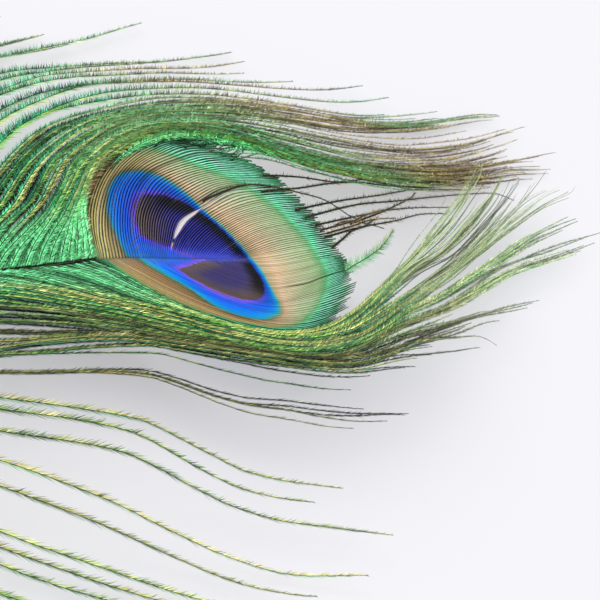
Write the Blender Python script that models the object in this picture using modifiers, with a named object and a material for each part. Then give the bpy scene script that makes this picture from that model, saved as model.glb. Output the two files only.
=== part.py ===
"""A train feather of a peacock, lying face up on a flat surface.

Metres, +Z up. +X runs along the shaft from the quill to the tip and +Y is the feather's left.
The shaft is a tapered tube. Each half of the eye is a thin vane that rises from the shaft, with
a few long filaments past its rim. The loose barbs of each side, and the down at the base, are
tapered locks that grow from one narrow ridge along the shaft. A gap keeps each piece off the next.
"""

import math

import bmesh
import bpy
import numpy as np
from mathutils import Vector

MM = 0.001
GAP = 0.3 * MM

# Where the centre of the eye lies over the surface, in the part's frame.
EYE_X = 64.2 * MM
EYE_Y = 5.2 * MM

# The shaft's axis in millimetres from the eye's centre: x, y, height and radius.
SHAFT = (
    (-215.0, -19.0, 1.44, 1.1),
    (-198.0, -17.3, 1.5, 1.42),
    (-160.0, -13.7, 3.6, 1.35),
    (-120.0, -10.4, 5.3, 1.1),
    (-85.0, -7.7, 5.8, 0.82),
    (-55.0, -5.3, 5.2, 0.55),
    (-30.0, -3.1, 4.4, 0.34),
    (-14.0, -0.5, 3.9, 0.22),
    (0.0, 0.0, 3.5, 0.16),
    (9.0, 0.1, 3.4, 0.12),
)
SHAFT_STATIONS = 40
QUILL_TIP_TAPER = 0.45

# The sheet of barbs rises from the shaft, then falls to rest: its slope down the stem and by the
# eye, and where it falls aside of the shaft and past the tip.
STEM_RISE = 0.08
EYE_RISE = math.tan(math.radians(10.0))
NEAR_EYE = (-75.0, -30.0)
STEM_FALL = (12.0, 36.0)
EYE_FALL = (18.0, 44.0)
TIP_FALL = (18.0, 80.0)
REST_HEIGHT = 0.5
LONGEST_BARB = 150

# Stem barbs: root x, length, then the angle to the shaft at the root and at the tip, in degrees.
LEFT_STEM = (
    (-172.0, 48.0, 60.0, 42.0),
    (-150.0, 62.0, 56.0, 34.0),
    (-120.0, 75.0, 53.0, 28.0),
    (-90.0, 84.6, 51.0, 23.0),
    (-62.0, 94.0, 50.0, 17.0),
)
RIGHT_STEM = (
    (-172.0, 48.0, 60.0, 42.0),
    (-150.0, 62.0, 56.0, 34.0),
    (-120.0, 72.4, 53.0, 28.0),
    (-90.0, 84.0, 46.0, 14.0),
)
DOWN = (
    (-199.0, 12.0, 78.0, 70.0),
    (-192.0, 22.0, 74.0, 52.0),
    (-183.0, 33.0, 68.0, 46.0),
    (-174.0, 42.0, 62.0, 42.0),
)

# Barbs that sweep round the eye, and those of the eye itself: points x, y from root to tip.
LEFT_SWEEP = (
    ((-45, -4.4), (-40, -1.8), (-34.5, 1.9), (-29.5, 5.4), (-24.5, 9.2), (-18.6, 13.4), (-11, 17.6),
     (1, 21.6), (12, 24.4), (27, 26.5), (54, 30), (80, 32)),
    ((-35, -3.5), (-31, -0.7), (-27.8, 1.9), (-25, 3.8), (-21.3, 6.1), (-18.1, 8.8), (-14.8, 11.6),
     (-10.6, 14.3), (-3.4, 17.8), (4.1, 20.3), (12, 21.7), (26.5, 23.4), (45, 25.7), (64, 29)),
    ((-31, -3.1), (-28.9, -1.2), (-26.4, 0.5), (-23.7, 2.1), (-19.5, 4.8), (-14.1, 9.2), (-11.2, 11.9),
     (-6.8, 14.7), (0.4, 18.2), (8.2, 20.2), (16.1, 20.9), (24.1, 20.8), (50, 23), (76, 26)),
    ((-27, -2.5), (-25.4, -0.8), (-23.5, 0.9), (-19.4, 4), (-15.1, 7.4), (-12.8, 9.4), (-9.8, 12),
     (-4.2, 15.4), (3.1, 18.4), (11, 19.8), (18.9, 20.1), (26.9, 19.6), (42.9, 20.7), (62.7, 22.9),
     (78.4, 25.7)),
    ((-22.5, -1.8), (-20.9, 0.2), (-19, 1.9), (-16.9, 3.7), (-15.1, 5.3), (-11.3, 9.3), (-8.5, 12.1),
     (-5.2, 14.2), (2, 17.5), (9.8, 19.3), (17.8, 19.4), (29.7, 18.5), (45.7, 19.3), (65.5, 21.6),
     (84.9, 26.4)),
    ((-18, -1.1), (-16.8, 1), (-15.9, 2.6), (-15.2, 4), (-14.4, 5.3), (-11.2, 8.9), (-7.9, 12.1),
     (-4.4, 14.5), (2.9, 17.6), (10.7, 19.3), (18.7, 19.2), (30.6, 18.1), (46.6, 18.9), (66.5, 21.2),
     (85.7, 26.4)),
    ((-15.4, -0.7), (-14.9, 1.5), (-14.4, 3.2), (-13.8, 4.8), (-12.8, 6.5), (-9.9, 9.6), (-7.1, 12),
     (-3.3, 14.4), (4, 17.4), (11.9, 18.8), (19.9, 18.5), (31.8, 17.4), (47.7, 18.1), (67.5, 20.9),
     (86.7, 26.5)),
)
LEFT_EYE = (
    ((-14, 0), (-13.2, 1.4), (-12.3, 3.2), (-11, 5.3), (-9.3, 7.5), (-7.2, 9.7), (-4.6, 11.9), (-1.6, 13.9),
     (3, 16.2), (10, 17.9), (22, 17.4), (35, 15.2), (52, 15.9), (72, 21), (85, 25.5)),
    ((-10.3, 0), (-8.9, 3.1), (-7.6, 5.3), (-6.1, 7.4), (-4.4, 9.4), (-2.4, 11.1), (1, 13.3), (5.3, 15),
     (11, 16.6), (20, 16.2), (31, 13.8), (47, 13.9), (67, 17), (84, 19)),
    ((-7.4, 0), (-6.5, 2.4), (-5.4, 4.6), (-3.6, 6.9), (-1.3, 9), (0.8, 10.7), (3.6, 12.1), (8.6, 13.6),
     (14, 14.6), (18.5, 14.4), (30, 12.6), (46, 12.9), (60, 14.2)),
    ((-4.9, 0), (-3.5, 2.3), (-1.2, 5.1), (0.3, 6.5), (2, 7.7), (4.6, 9), (10.2, 11.2), (14.8, 12),
     (18.2, 12.1), (24, 12), (36, 12), (54, 12.9), (66, 13.4)),
    ((-3, 0), (-1.9, 1.5), (-0.6, 2.8), (0.8, 4), (2.8, 5.5), (4.9, 6.5), (7.2, 7.5), (11.9, 9.5),
     (14.4, 10.1), (17.7, 10.4), (21.4, 10.7), (24.5, 11), (36, 11.2), (54, 11.4)),
    ((-1.5, 0), (-0.6, 1.2), (0.8, 2.3), (2.3, 3.4), (4.4, 4.6), (6.8, 5.6), (11.1, 7.2), (15.7, 8.4),
     (19.6, 9), (22.7, 9.2), (26.5, 9.3), (38, 9.6), (54, 9.9)),
    ((2, 0), (3.2, 1), (4.8, 1.9), (8.4, 3.6), (13, 5.3), (17.3, 6.2), (21.2, 6.7), (24.4, 6.9), (27, 7.1),
     (38, 7.6), (50, 8)),
    ((6, 0.1), (7.5, 0.75), (9.8, 1.6), (14.4, 3.1), (19.5, 4), (23.9, 4.5), (27, 4.9), (32, 5.6),
     (40, 6.6)),
    ((9, 0.1), (10.4, 0.3), (14.2, 0.75), (19.5, 1.5), (24.8, 2.1), (27, 2.3)),
)
RIGHT_SWEEP = (
    ((-74, -7), (-66, -13.6), (-58, -17.2), (-49, -18.4), (-42.2, -18), (-36.9, -17.8), (-33.1, -17.5),
     (-28.1, -17.1), (-23, -17), (-20.3, -17.4), (-15.5, -19.6), (-12.6, -20.7), (-9.4, -21.7),
     (-5.7, -22.2), (-1.8, -22.7), (2.1, -23), (6.1, -23.1), (11.6, -22.9), (18.3, -23.2), (24, -23.5)),
    ((-69, -6.5), (-63, -12), (-56, -15.3), (-48, -16.9), (-41.5, -17), (-35.6, -16.2), (-31.2, -15.8),
     (-26.9, -15.6), (-22.1, -15.9), (-17.6, -17.6), (-15, -18.9), (-12.2, -20.1), (-9.1, -21.2),
     (-5.3, -21.8), (-1.4, -22.2), (2.5, -22.5), (6.8, -22.3), (13.3, -20.8), (24, -19.8), (31.6, -18.6),
     (32.3, -21.5)),
    ((-61.5, -5.8), (-57, -7.8), (-51, -10.2), (-44, -12), (-38.1, -12.6), (-33, -13), (-28, -13.7),
     (-24.4, -14.3), (-19, -15.9), (-14.4, -18.3), (-11.7, -19.6), (-8.7, -20.7), (-5, -21.4),
     (-1, -21.8), (3.1, -21.8), (7.8, -21.1), (21.2, -17.7), (37.4, -12.8), (51.9, -9.3)),
    ((-55, -5.3), (-48, -7.6), (-42, -9.3), (-36.3, -10.3), (-31.4, -10.9), (-25.9, -12), (-21.3, -13.3),
     (-18, -14.7), (-13.8, -17.5), (-11.3, -19.1), (-8.2, -20.2), (-4.6, -20.9), (-0.5, -21.2),
     (3.9, -20.8), (9.3, -19.5), (17.6, -16.5), (33.4, -11.4), (54.6, -2.8), (71.8, 2), (84.4, 5)),
    ((-49, -4.8), (-45, -5.9), (-40, -7.2), (-34.6, -8.1), (-30.9, -8.7), (-26.5, -10.1), (-22, -11.5),
     (-17.3, -13.8), (-13.1, -16.8), (-10.7, -18.4), (-7.7, -19.6), (-3.9, -20.2), (0.2, -20.4),
     (4.7, -19.9), (10.2, -18.6), (23.7, -13.1), (37.7, -7.6), (58.9, 1.2), (78.3, 8.2), (86.4, 10.3)),
    ((-43, -4.3), (-38, -5.6), (-33.1, -6.2), (-28.2, -7.1), (-23.6, -9.2), (-19.7, -10.6),
     (-16.3, -12.6), (-12.5, -16.1), (-10.1, -17.7), (-7, -18.9), (-3.3, -19.4), (1, -19.5), (5.8, -18.8),
     (11.2, -17.4), (31.1, -8.7), (54.1, 2.3), (76.7, 12.6), (86, 15.8)),
    ((-35.5, -3.6), (-31.6, -4.3), (-28.6, -4.9), (-26, -6), (-23, -7.6), (-19.4, -9.7), (-16.1, -11.4),
     (-13.8, -13.1), (-11.8, -15.2), (-9.4, -17), (-6.3, -18.1), (-2.5, -18.6), (1.9, -18.6),
     (6.8, -17.8), (11.7, -16.2), (33.2, -6.8), (49.6, 0.6), (68.1, 10.3), (82.5, 18.5)),
    ((-25.2, -2.3), (-21.7, -4.3), (-18.3, -7.2), (-16.5, -9.3), (-13.3, -12.5), (-11.3, -14.7),
     (-8.8, -16.4), (-5.6, -17.4), (-1.7, -17.8), (2.8, -17.7), (8.2, -16.4), (13, -14.5), (33.7, -3.9),
     (48.3, 2.4), (65.1, 11.6), (76.1, 18.7)),
    ((-16.5, -0.9), (-15.3, -4.5), (-14.5, -7.3), (-12.5, -11.5), (-10.6, -13.9), (-8.2, -15.7),
     (-4.9, -16.7), (-0.9, -17), (3.8, -16.6), (9.3, -14.9), (19.3, -10.4), (37.2, -0.8), (53.1, 8),
     (67.8, 17.3), (72.5, 21)),
)
RIGHT_EYE = (
    ((-14, -0.5), (-12, -4.5), (-9, -9), (-4.5, -12.7), (0, -14.3), (5, -14.4), (10, -13.2), (14, -11.9)),
    ((-9.5, -0.2), (-7.2, -5), (-3.6, -9), (0, -11.2), (4.2, -12), (8.5, -11.6), (13, -10.6), (17, -9.4),
     (19, -8.7)),
    ((-4.5, -0.1), (-2.4, -4), (1, -7.3), (4, -8.6), (7.6, -8.6), (12, -7.5), (17, -6.2), (21.5, -4.9)),
    ((-1, 0), (1, -3), (4, -5.4), (7.5, -6.2), (11.5, -5.7), (14.7, -5.1), (18.4, -3.9), (23.4, -2.5),
     (28, -0.9), (33, 1.4), (40, 5.5)),
    ((3, -0.1), (5.5, -2.4), (8.6, -3.4), (13.6, -2.9), (19.6, -1.5), (24, -0.7), (26.5, -0.3)),
    ((6.5, -0.1), (9, -1.1), (13.6, -1), (19.6, 0.1), (25, 0.8)),
    ((9, -0.1), (12, 0), (14.2, 0.3), (19.5, 1.3), (24.8, 1.9), (27, 2.2)),
)

# The rim of the eye: radius about the eye's own middle at each 30 degrees from the tip side.
EYE_MIDDLE = (3.0, 0.0)
LEFT_RIM = (23.0, 23.1, 19.8, 16.9, 15.5, 16.2, 17.4)
RIGHT_RIM = (22.8, 17.4, 15.6, 15.6, 15.8, 16.8, 17.4)

EYE_COLUMNS = 29
EYE_ROWS = 9
EYE_THICKNESS = 0.5 * MM
RIM_TOOTH = 0.7
LEFT_EYE_ROOTS = (-14.4, 8.6)
RIGHT_EYE_ROOTS = (-13.6, 8.0)

# Each lock is widest a third of the way along and narrows to its tip.
LOCK_STATIONS = 9
LOCK_HALF_THICKNESS = 0.42
LOCK_PACE = 0.92
LOCK_SWELL = (0.35, 1.7)
LOCK_LEAST_WIDTH = 0.35
LOCK_TAPER_FROM = 0.55
LOCK_TIP_TAPER = 0.72
# How far inside the rim a filament starts, and how far beside the shaft a lock does.
FILAMENT_INSIDE = 1.5
LOCK_BESIDE_SHAFT = 0.75
ROOT_STEPS = 20
# The ridge that the locks of one side grow from.
RIDGE_BESIDE_SHAFT = 0.9
RIDGE_HALF_WIDTH = 0.85
RIDGE_STEP = 9.0
BARB_RIDGE = (-170.5, -15.2)
DOWN_RIDGE = (-200.0, -172.6)
STEM_LOCK_HALF_WIDTH = 1.35
SWEEP_LOCK_HALF_WIDTH = 0.42
FILAMENT_HALF_WIDTH = 0.3
DOWN_LOCK_HALF_WIDTH = 1.0
LEFT_STEM_LOCK_ROOTS = tuple(np.linspace(-168.0, -50.0, 18))
RIGHT_STEM_LOCK_ROOTS = tuple(np.linspace(-168.0, -80.0, 14))
LEFT_SWEEP_ROOTS = (-45.0, -40.0, -35.5, -31.5, -27.0, -22.5, -18.0)
RIGHT_SWEEP_ROOTS = (-73.9, -69.0, -61.5, -55.0, -49.0, -43.0, -35.5, -25.2, -16.6)
# How much higher the right side's locks lie where they cross the rim, and then the left's tips.
LIFT_OVER_RIM = 0.9
LIFT_OVER_TIPS = 0.3
DOWN_LOCK_ROOTS = tuple(np.linspace(-198.0, -176.0, 9))
LEFT_FILAMENT_ROOTS = (-13.0, -10.4, -8.0, -4.5, 0.2, 5.0)
RIGHT_FILAMENT_ROOTS = (-0.8,)


def clear_scene():
    for obj in list(bpy.data.objects):
        bpy.data.objects.remove(obj, do_unlink=True)


def collection(name):
    made = bpy.data.collections.new(name)
    bpy.context.scene.collection.children.link(made)
    return made


def material(name, colour, roughness, metallic=0.0):
    made = bpy.data.materials.new(name)
    made.use_nodes = True
    shader = made.node_tree.nodes["Principled BSDF"]
    shader.inputs["Base Color"].default_value = (*colour, 1.0)
    shader.inputs["Roughness"].default_value = roughness
    shader.inputs["Metallic"].default_value = metallic
    made.diffuse_color = (*colour, 1.0)
    return made


def smooth_step(low, high, value):
    t = np.clip((value - low) / (high - low), 0.0, 1.0)
    return t * t * (3.0 - 2.0 * t)


def between(first, second, share):
    return first + (second - first) * share


def through(points, t):
    """A smooth curve through the points, read at t from 0 to the last index."""
    points = np.asarray(points, float)
    last = len(points) - 1
    t = np.clip(np.asarray(t, float), 0.0, last)
    i = np.minimum(t.astype(int), last - 1)
    f = (t - i)[..., None]
    ends = np.vstack([2 * points[0] - points[1], points, 2 * points[-1] - points[-2]])
    a, b, c, d = ends[i], ends[i + 1], ends[i + 2], ends[i + 3]
    square = (2 * a - 5 * b + 4 * c - d) * f**2
    cube = (3 * b - a - 3 * c + d) * f**3
    return 0.5 * (2 * b + (c - a) * f + square + cube)


def shaft_at(x):
    """x, y, height and radius of the shaft, in millimetres, abreast of x."""
    stations = np.array(SHAFT)[:, 0]
    return through(SHAFT, np.interp(x, stations, np.arange(len(stations))))


def sheet_height(x, y):
    """How high the sheet of barbs lies, in millimetres: up from the shaft, then down to rest."""
    shaft = shaft_at(np.clip(x, SHAFT[0][0], SHAFT[-1][0]))
    aside = np.abs(y - shaft[..., 1])
    by_eye = smooth_step(*NEAR_EYE, x)
    top = shaft[..., 2] + between(STEM_RISE, EYE_RISE, by_eye) * aside
    fall_from = between(STEM_FALL[0], EYE_FALL[0], by_eye)
    fall_to = between(STEM_FALL[1], EYE_FALL[1], by_eye)
    side_fall = smooth_step(fall_from, fall_to, aside)
    tip_fall = smooth_step(*TIP_FALL, x)
    return REST_HEIGHT + (top - REST_HEIGHT) * (1.0 - side_fall) * (1.0 - tip_fall)


def stem_guide(side, root, length, start_angle, end_angle, steps=12):
    """The path of a stem barb that curves evenly towards the tip."""
    s = np.linspace(0.0, length, steps)
    angle = np.radians(start_angle + (end_angle - start_angle) * s / length)
    step = length / (steps - 1)
    x = root + np.concatenate([[0.0], np.cumsum(np.cos(angle[:-1])) * step])
    y = shaft_at(root)[1] + side * np.concatenate([[0.0], np.cumsum(np.sin(angle[:-1])) * step])
    return np.column_stack([x, y])


def paced(points):
    """The path's length, and its points at each millimetre, carried straight on past its end."""
    fine = through(points, np.linspace(0, len(points) - 1, 300))
    run = np.concatenate([[0.0], np.cumsum(np.linalg.norm(np.diff(fine, axis=0), axis=1))])
    pace = np.arange(LONGEST_BARB + 1.0)
    path = np.column_stack([np.interp(pace, run, fine[:, k]) for k in range(2)])
    heading = (fine[-1] - fine[-4]) / np.linalg.norm(fine[-1] - fine[-4])
    path += np.maximum(pace - run[-1], 0.0)[:, None] * heading
    return run[-1], path


def guide_set(side, stem, sweep=(), eye=()):
    """Every guide path of one side, from the quill to the end of the shaft."""
    return [paced(path) for path in [*(stem_guide(side, *row) for row in stem), *sweep, *eye]]


def barb_path(guides, root, steps=100):
    """The path of the barb with this root, blended from the guides beside it."""
    roots = [path[0, 0] for _, path in guides]
    place = np.interp(root, roots, np.arange(len(roots)))
    i = min(int(place), len(roots) - 2)
    length = between(guides[i][0], guides[i + 1][0], place - i)
    blend = between(guides[i][1], guides[i + 1][1], place - i)
    run = np.linspace(0.0, length, steps)
    return np.column_stack([np.interp(run, np.arange(len(blend)), blend[:, k]) for k in range(2)])


def rim_radius(side, angle):
    table = LEFT_RIM if side > 0 else RIGHT_RIM
    return through(np.array(table)[:, None], angle / math.radians(30.0))[..., 0]


def inside_rim(side, x, y):
    """Positive inside the rim: the radius of the rim less the distance from the eye's middle."""
    dx = x - EYE_MIDDLE[0]
    dy = side * (y - EYE_MIDDLE[1])
    angle = np.arctan2(np.maximum(dy, 0.0), dx)
    return rim_radius(side, angle) - np.hypot(dx, dy)


def lift_of_right(x):
    """The right side's barbs lie over the rim, and their tips lie over those of the left."""
    over_rim = LIFT_OVER_RIM * smooth_step(-20.0, -8.0, x)
    return over_rim + LIFT_OVER_TIPS * smooth_step(25.0, 60.0, x)


def level(x):
    """The lift of the left side: none."""
    return np.zeros_like(x)


def to_frame(x, y, z):
    return Vector((x * MM + EYE_X, y * MM + EYE_Y, z * MM))


def add_spline(curve, points, radii):
    spline = curve.splines.new("POLY")
    spline.points.add(len(points) - 1)
    for point, place, radius in zip(spline.points, points, radii):
        point.co = (*place, 1.0)
        point.radius = radius


def curve_object(name, curve, where):
    obj = bpy.data.objects.new(name, curve)
    where.objects.link(obj)
    return obj


def to_mesh(obj, name, where, finish):
    """The curve's evaluated shape as a mesh with its caps welded on."""
    graph = bpy.context.evaluated_depsgraph_get()
    mesh = bpy.data.meshes.new_from_object(obj.evaluated_get(graph))
    shape = bmesh.new()
    shape.from_mesh(mesh)
    bmesh.ops.remove_doubles(shape, verts=shape.verts, dist=0.00001)
    bmesh.ops.recalc_face_normals(shape, faces=shape.faces)
    shape.to_mesh(mesh)
    shape.free()
    made = bpy.data.objects.new(name, mesh)
    made.matrix_world = obj.matrix_world
    where.objects.link(made)
    mesh.materials.clear()
    mesh.materials.append(finish)
    bpy.data.objects.remove(obj)
    return made


def hide_helper(obj):
    obj.hide_render = True
    obj.display_type = "WIRE"


def blade_profile(where):
    """A flat diamond, one unit to each side, that is swept along every lock."""
    curve = bpy.data.curves.new("blade_profile", "CURVE")
    curve.dimensions = "2D"
    spline = curve.splines.new("POLY")
    corners = ((-1.0, 0.0), (0.0, 1.0), (1.0, 0.0), (0.0, -1.0))
    spline.points.add(len(corners) - 1)
    for point, (x, y) in zip(spline.points, corners):
        point.co = (x * MM, y * MM * LOCK_HALF_THICKNESS, 0.0, 1.0)
    spline.use_cyclic_u = True
    obj = curve_object("blade_profile", curve, where)
    hide_helper(obj)
    return obj


def lock_curve(name, profile):
    curve = bpy.data.curves.new(name, "CURVE")
    curve.dimensions = "3D"
    curve.twist_mode = "Z_UP"
    curve.bevel_mode = "OBJECT"
    curve.bevel_object = profile
    curve.use_fill_caps = True
    return curve


def add_lock(curve, path, half_width, start, lift):
    """One tapered lock along the path, from the fraction start to the tip."""
    run = np.linspace(start, 1.0, LOCK_STATIONS) ** LOCK_PACE
    run[0] = start
    place = through(path, run * (len(path) - 1))
    x, y = place[:, 0], place[:, 1]
    z = sheet_height(x, y) + lift(x)
    low, high = LOCK_SWELL
    swell = np.sin(low + run * (high - low))
    taper = 1.0 - LOCK_TIP_TAPER * smooth_step(LOCK_TAPER_FROM, 1.0, run)
    radii = half_width * np.maximum(LOCK_LEAST_WIDTH, swell) * taper
    add_spline(curve, [to_frame(*p) for p in zip(x, y, z)], radii)


def root_ridge(name, side, ends, profile, finish, where):
    """The narrow ridge beside the shaft that the locks of one side grow from."""
    curve = lock_curve(name, profile)
    x = np.linspace(*ends, 1 + int((ends[1] - ends[0]) / RIDGE_STEP))
    shaft = shaft_at(x)
    y = shaft[:, 1] + side * (shaft[:, 3] + GAP / MM + RIDGE_BESIDE_SHAFT)
    z = sheet_height(x, y)
    points = [to_frame(*p) for p in zip(x, y, z)]
    add_spline(curve, points, np.full(len(x), RIDGE_HALF_WIDTH))
    return to_mesh(curve_object(name + "_curve", curve, where), name, where, finish)


def fuse(base, other):
    """Joins the other solid, and all that overlaps in it, into the base."""
    union = base.modifiers.new("fuse", "BOOLEAN")
    union.operation = "UNION"
    union.object = other
    union.use_self = True
    hide_helper(other)


def locks_object(name, guides, roots, half_width, lift, helpers, profile, finish):
    """A lock at each root, all in one mesh."""
    curve = lock_curve(name, profile)
    for root in roots:
        path = barb_path(guides, root)
        shaft = shaft_at(root)
        inner = shaft[3] + GAP / MM + LOCK_BESIDE_SHAFT
        reach = np.abs(path[:ROOT_STEPS, 1] - shaft[1])
        start = np.interp(inner, reach, np.linspace(0.0, 1.0, len(path))[:ROOT_STEPS])
        add_lock(curve, path, half_width, start, lift)
    return to_mesh(curve_object(name + "_curve", curve, helpers), name, helpers, finish)


def make_shaft(where, helpers, finish):
    """The quill and its shaft, one tapered tube with a rounded end."""
    curve = bpy.data.curves.new("shaft", "CURVE")
    curve.dimensions = "3D"
    curve.bevel_depth = MM
    curve.bevel_resolution = 2
    curve.use_fill_caps = True
    t = np.linspace(0.0, len(SHAFT) - 1, SHAFT_STATIONS)
    axis = through(SHAFT, t)
    axis[0, 3] *= QUILL_TIP_TAPER
    add_spline(curve, [to_frame(*p[:3]) for p in axis], axis[:, 3])
    shaft = to_mesh(curve_object("shaft_curve", curve, helpers), "shaft", where, finish)
    shaft.data.shade_smooth()
    return shaft


def make_loose_barbs(name, side, guides, roots, lift, where, helpers, profile, finish):
    """The loose barbs of one side: wide locks down the stem, narrow ones round the eye."""
    ridge = root_ridge(name, side, BARB_RIDGE, profile, finish, where)
    stem_roots, sweep_roots = roots
    stem = locks_object(
        name + "_stem", guides, stem_roots, STEM_LOCK_HALF_WIDTH, lift, helpers, profile, finish
    )
    sweep = locks_object(
        name + "_sweep", guides, sweep_roots, SWEEP_LOCK_HALF_WIDTH, lift, helpers, profile, finish
    )
    fuse(ridge, stem)
    fuse(ridge, sweep)


def make_down(name, side, where, helpers, profile, finish):
    """The soft down at the base of one side."""
    guides = guide_set(side, DOWN)
    ridge = root_ridge(name, side, DOWN_RIDGE, profile, finish, where)
    locks = locks_object(
        name + "_locks", guides, DOWN_LOCK_ROOTS, DOWN_LOCK_HALF_WIDTH, level, helpers, profile, finish
    )
    fuse(ridge, locks)


def eye_column(side, guides, root, tooth):
    """Points of one line of the vane, from the shaft to the rim."""
    path = barb_path(guides, root, 400)
    shaft = shaft_at(np.clip(path[:, 0], None, SHAFT[-1][0]))
    keep = np.abs(path[:, 1] - shaft[:, 1]) >= shaft[:, 3] + GAP / MM
    within = inside_rim(side, path[:, 0], path[:, 1]) > tooth
    first = int(np.argmax(keep))
    last = len(path) - 1 if within[first:].all() else first + int(np.argmin(within[first:]))
    run = np.linspace(first, last, EYE_ROWS)
    x = np.interp(run, np.arange(len(path)), path[:, 0])
    y = np.interp(run, np.arange(len(path)), path[:, 1])
    return np.column_stack([x, y, sheet_height(x, y)])


def vane_sheet(name, columns, where, finish):
    """The sheet of one half of the eye, a grid with one column for each line of points."""
    mesh = bpy.data.meshes.new(name)
    shape = bmesh.new()
    bmesh.ops.create_grid(shape, x_segments=EYE_COLUMNS - 1, y_segments=EYE_ROWS - 1, size=1.0)
    for vert in shape.verts:
        i = round((vert.co.x + 1.0) / 2.0 * (EYE_COLUMNS - 1))
        j = round((vert.co.y + 1.0) / 2.0 * (EYE_ROWS - 1))
        vert.co = to_frame(*columns[i][j])
    bmesh.ops.recalc_face_normals(shape, faces=shape.faces)
    shape.to_mesh(mesh)
    shape.free()
    vane = bpy.data.objects.new(name, mesh)
    where.objects.link(vane)
    mesh.materials.append(finish)
    wall = vane.modifiers.new("wall", "SOLIDIFY")
    wall.thickness = EYE_THICKNESS
    wall.offset = 0.0
    wall.use_even_offset = False
    return vane


def filaments(name, side, guides, roots, helpers, profile, finish):
    """The few barbs of the eye that run on past its rim."""
    curve = lock_curve(name, profile)
    for root in roots:
        path = barb_path(guides, root)
        inside = inside_rim(side, path[:, 0], path[:, 1]) > FILAMENT_INSIDE
        start = np.nonzero(inside)[0][-1] / (len(path) - 1)
        add_lock(curve, path, FILAMENT_HALF_WIDTH, start, level)
    return to_mesh(curve_object(name + "_curve", curve, helpers), name, helpers, finish)


def make_eye(name, side, guides, ends, thread_roots, where, helpers, profile, finish):
    """One half of the eye: a thin vane with a toothed rim, and a few filaments past it."""
    roots = np.linspace(*ends, EYE_COLUMNS)
    columns = [eye_column(side, guides, root, RIM_TOOTH * (i % 2)) for i, root in enumerate(roots)]
    vane = vane_sheet(name, columns, where, finish)
    threads = filaments(
        name + "_filaments", side, guides, thread_roots, helpers, profile, finish
    )
    fuse(vane, threads)


def main():
    clear_scene()
    feather = collection("peacock_feather")
    helpers = collection("helpers")
    profile = blade_profile(helpers)
    left = guide_set(1, LEFT_STEM, LEFT_SWEEP, LEFT_EYE)
    right = guide_set(-1, RIGHT_STEM, RIGHT_SWEEP, RIGHT_EYE)
    left_roots = (LEFT_STEM_LOCK_ROOTS, LEFT_SWEEP_ROOTS)
    right_roots = (RIGHT_STEM_LOCK_ROOTS, RIGHT_SWEEP_ROOTS)
    horn = material("shaft_horn", (0.72, 0.64, 0.47), 0.4)
    vane = material("eye_vane", (0.03, 0.16, 0.45), 0.45, 0.3)
    green = material("barb_green", (0.08, 0.33, 0.16), 0.5, 0.25)
    grey = material("down_grey", (0.42, 0.38, 0.32), 0.9)
    make_shaft(feather, helpers, horn)
    make_eye(
        "eye_left", 1, left, LEFT_EYE_ROOTS, LEFT_FILAMENT_ROOTS, feather, helpers, profile, vane
    )
    make_eye(
        "eye_right", -1, right, RIGHT_EYE_ROOTS, RIGHT_FILAMENT_ROOTS, feather, helpers, profile, vane
    )
    make_loose_barbs(
        "barbs_left", 1, left, left_roots, level, feather, helpers, profile, green
    )
    make_loose_barbs(
        "barbs_right", -1, right, right_roots, lift_of_right, feather, helpers, profile, green
    )
    make_down("down_left", 1, feather, helpers, profile, grey)
    make_down("down_right", -1, feather, helpers, profile, grey)


main()
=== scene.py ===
# %% [markdown]
# # A train feather of a peacock
#
# The feather lies face up on a pale table. It has one long shaft, an eye made of close ribs that lie
# side by side like the planks of a boat, loose barbs that sweep round the eye and past its tip, and
# grey down at the quill. The solids that load here hold its size and its main forms. This lesson lays
# the fine surface over them: more than five hundred barbs, most with their own small barbules.

# %% Load the solids
import math
from collections import namedtuple

import bpy
import numpy as np
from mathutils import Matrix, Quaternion, Vector


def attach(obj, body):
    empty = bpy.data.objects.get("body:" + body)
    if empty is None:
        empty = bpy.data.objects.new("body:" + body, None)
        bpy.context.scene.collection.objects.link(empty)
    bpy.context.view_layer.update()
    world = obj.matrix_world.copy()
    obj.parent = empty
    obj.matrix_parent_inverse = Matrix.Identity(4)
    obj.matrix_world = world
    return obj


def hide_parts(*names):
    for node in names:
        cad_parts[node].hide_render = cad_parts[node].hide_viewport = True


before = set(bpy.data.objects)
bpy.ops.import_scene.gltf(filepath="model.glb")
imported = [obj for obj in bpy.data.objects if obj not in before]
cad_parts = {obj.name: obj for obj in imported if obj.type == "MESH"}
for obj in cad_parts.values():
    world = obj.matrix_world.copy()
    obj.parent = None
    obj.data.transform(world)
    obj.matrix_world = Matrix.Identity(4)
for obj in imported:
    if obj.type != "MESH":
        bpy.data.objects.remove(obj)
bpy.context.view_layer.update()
bpy.ops.object.select_all(action="DESELECT")
print("nodes", sorted(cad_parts))

# %% [markdown]
# ## Camera, table and light
#
# A photograph of small things is taken from close by with a long lens, so the far end of the feather
# is hardly smaller than the near end. The camera looks down on the feather from its quill end and is
# rolled by about a third of a right angle. It is placed by the point where it stands, the point on
# the table that it looks at, and that roll.

# %% Camera
MM = 0.001
CAMERA_SPOT = Vector((-151.3, -151.9, 140.8)) * MM
CAMERA_AIM = Vector((82.3, 2.0, 0.0)) * MM
CAMERA_ROLL = math.radians(33.35)
CAMERA_LENS = 163.0
NEAREST_SEEN = 0.01

bpy.ops.object.camera_add(location=CAMERA_SPOT)
camera = bpy.context.object
towards = (CAMERA_AIM - CAMERA_SPOT).to_track_quat("-Z", "Y")
camera.rotation_euler = (towards @ Quaternion((0.0, 0.0, 1.0), CAMERA_ROLL)).to_euler()
camera.data.lens = CAMERA_LENS
camera.data.clip_start = NEAREST_SEEN
bpy.context.scene.camera = camera
bpy.context.scene.view_settings.view_transform = "Standard"
print("camera stands", round((CAMERA_AIM - CAMERA_SPOT).length, 3), "m from its aim")

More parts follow.
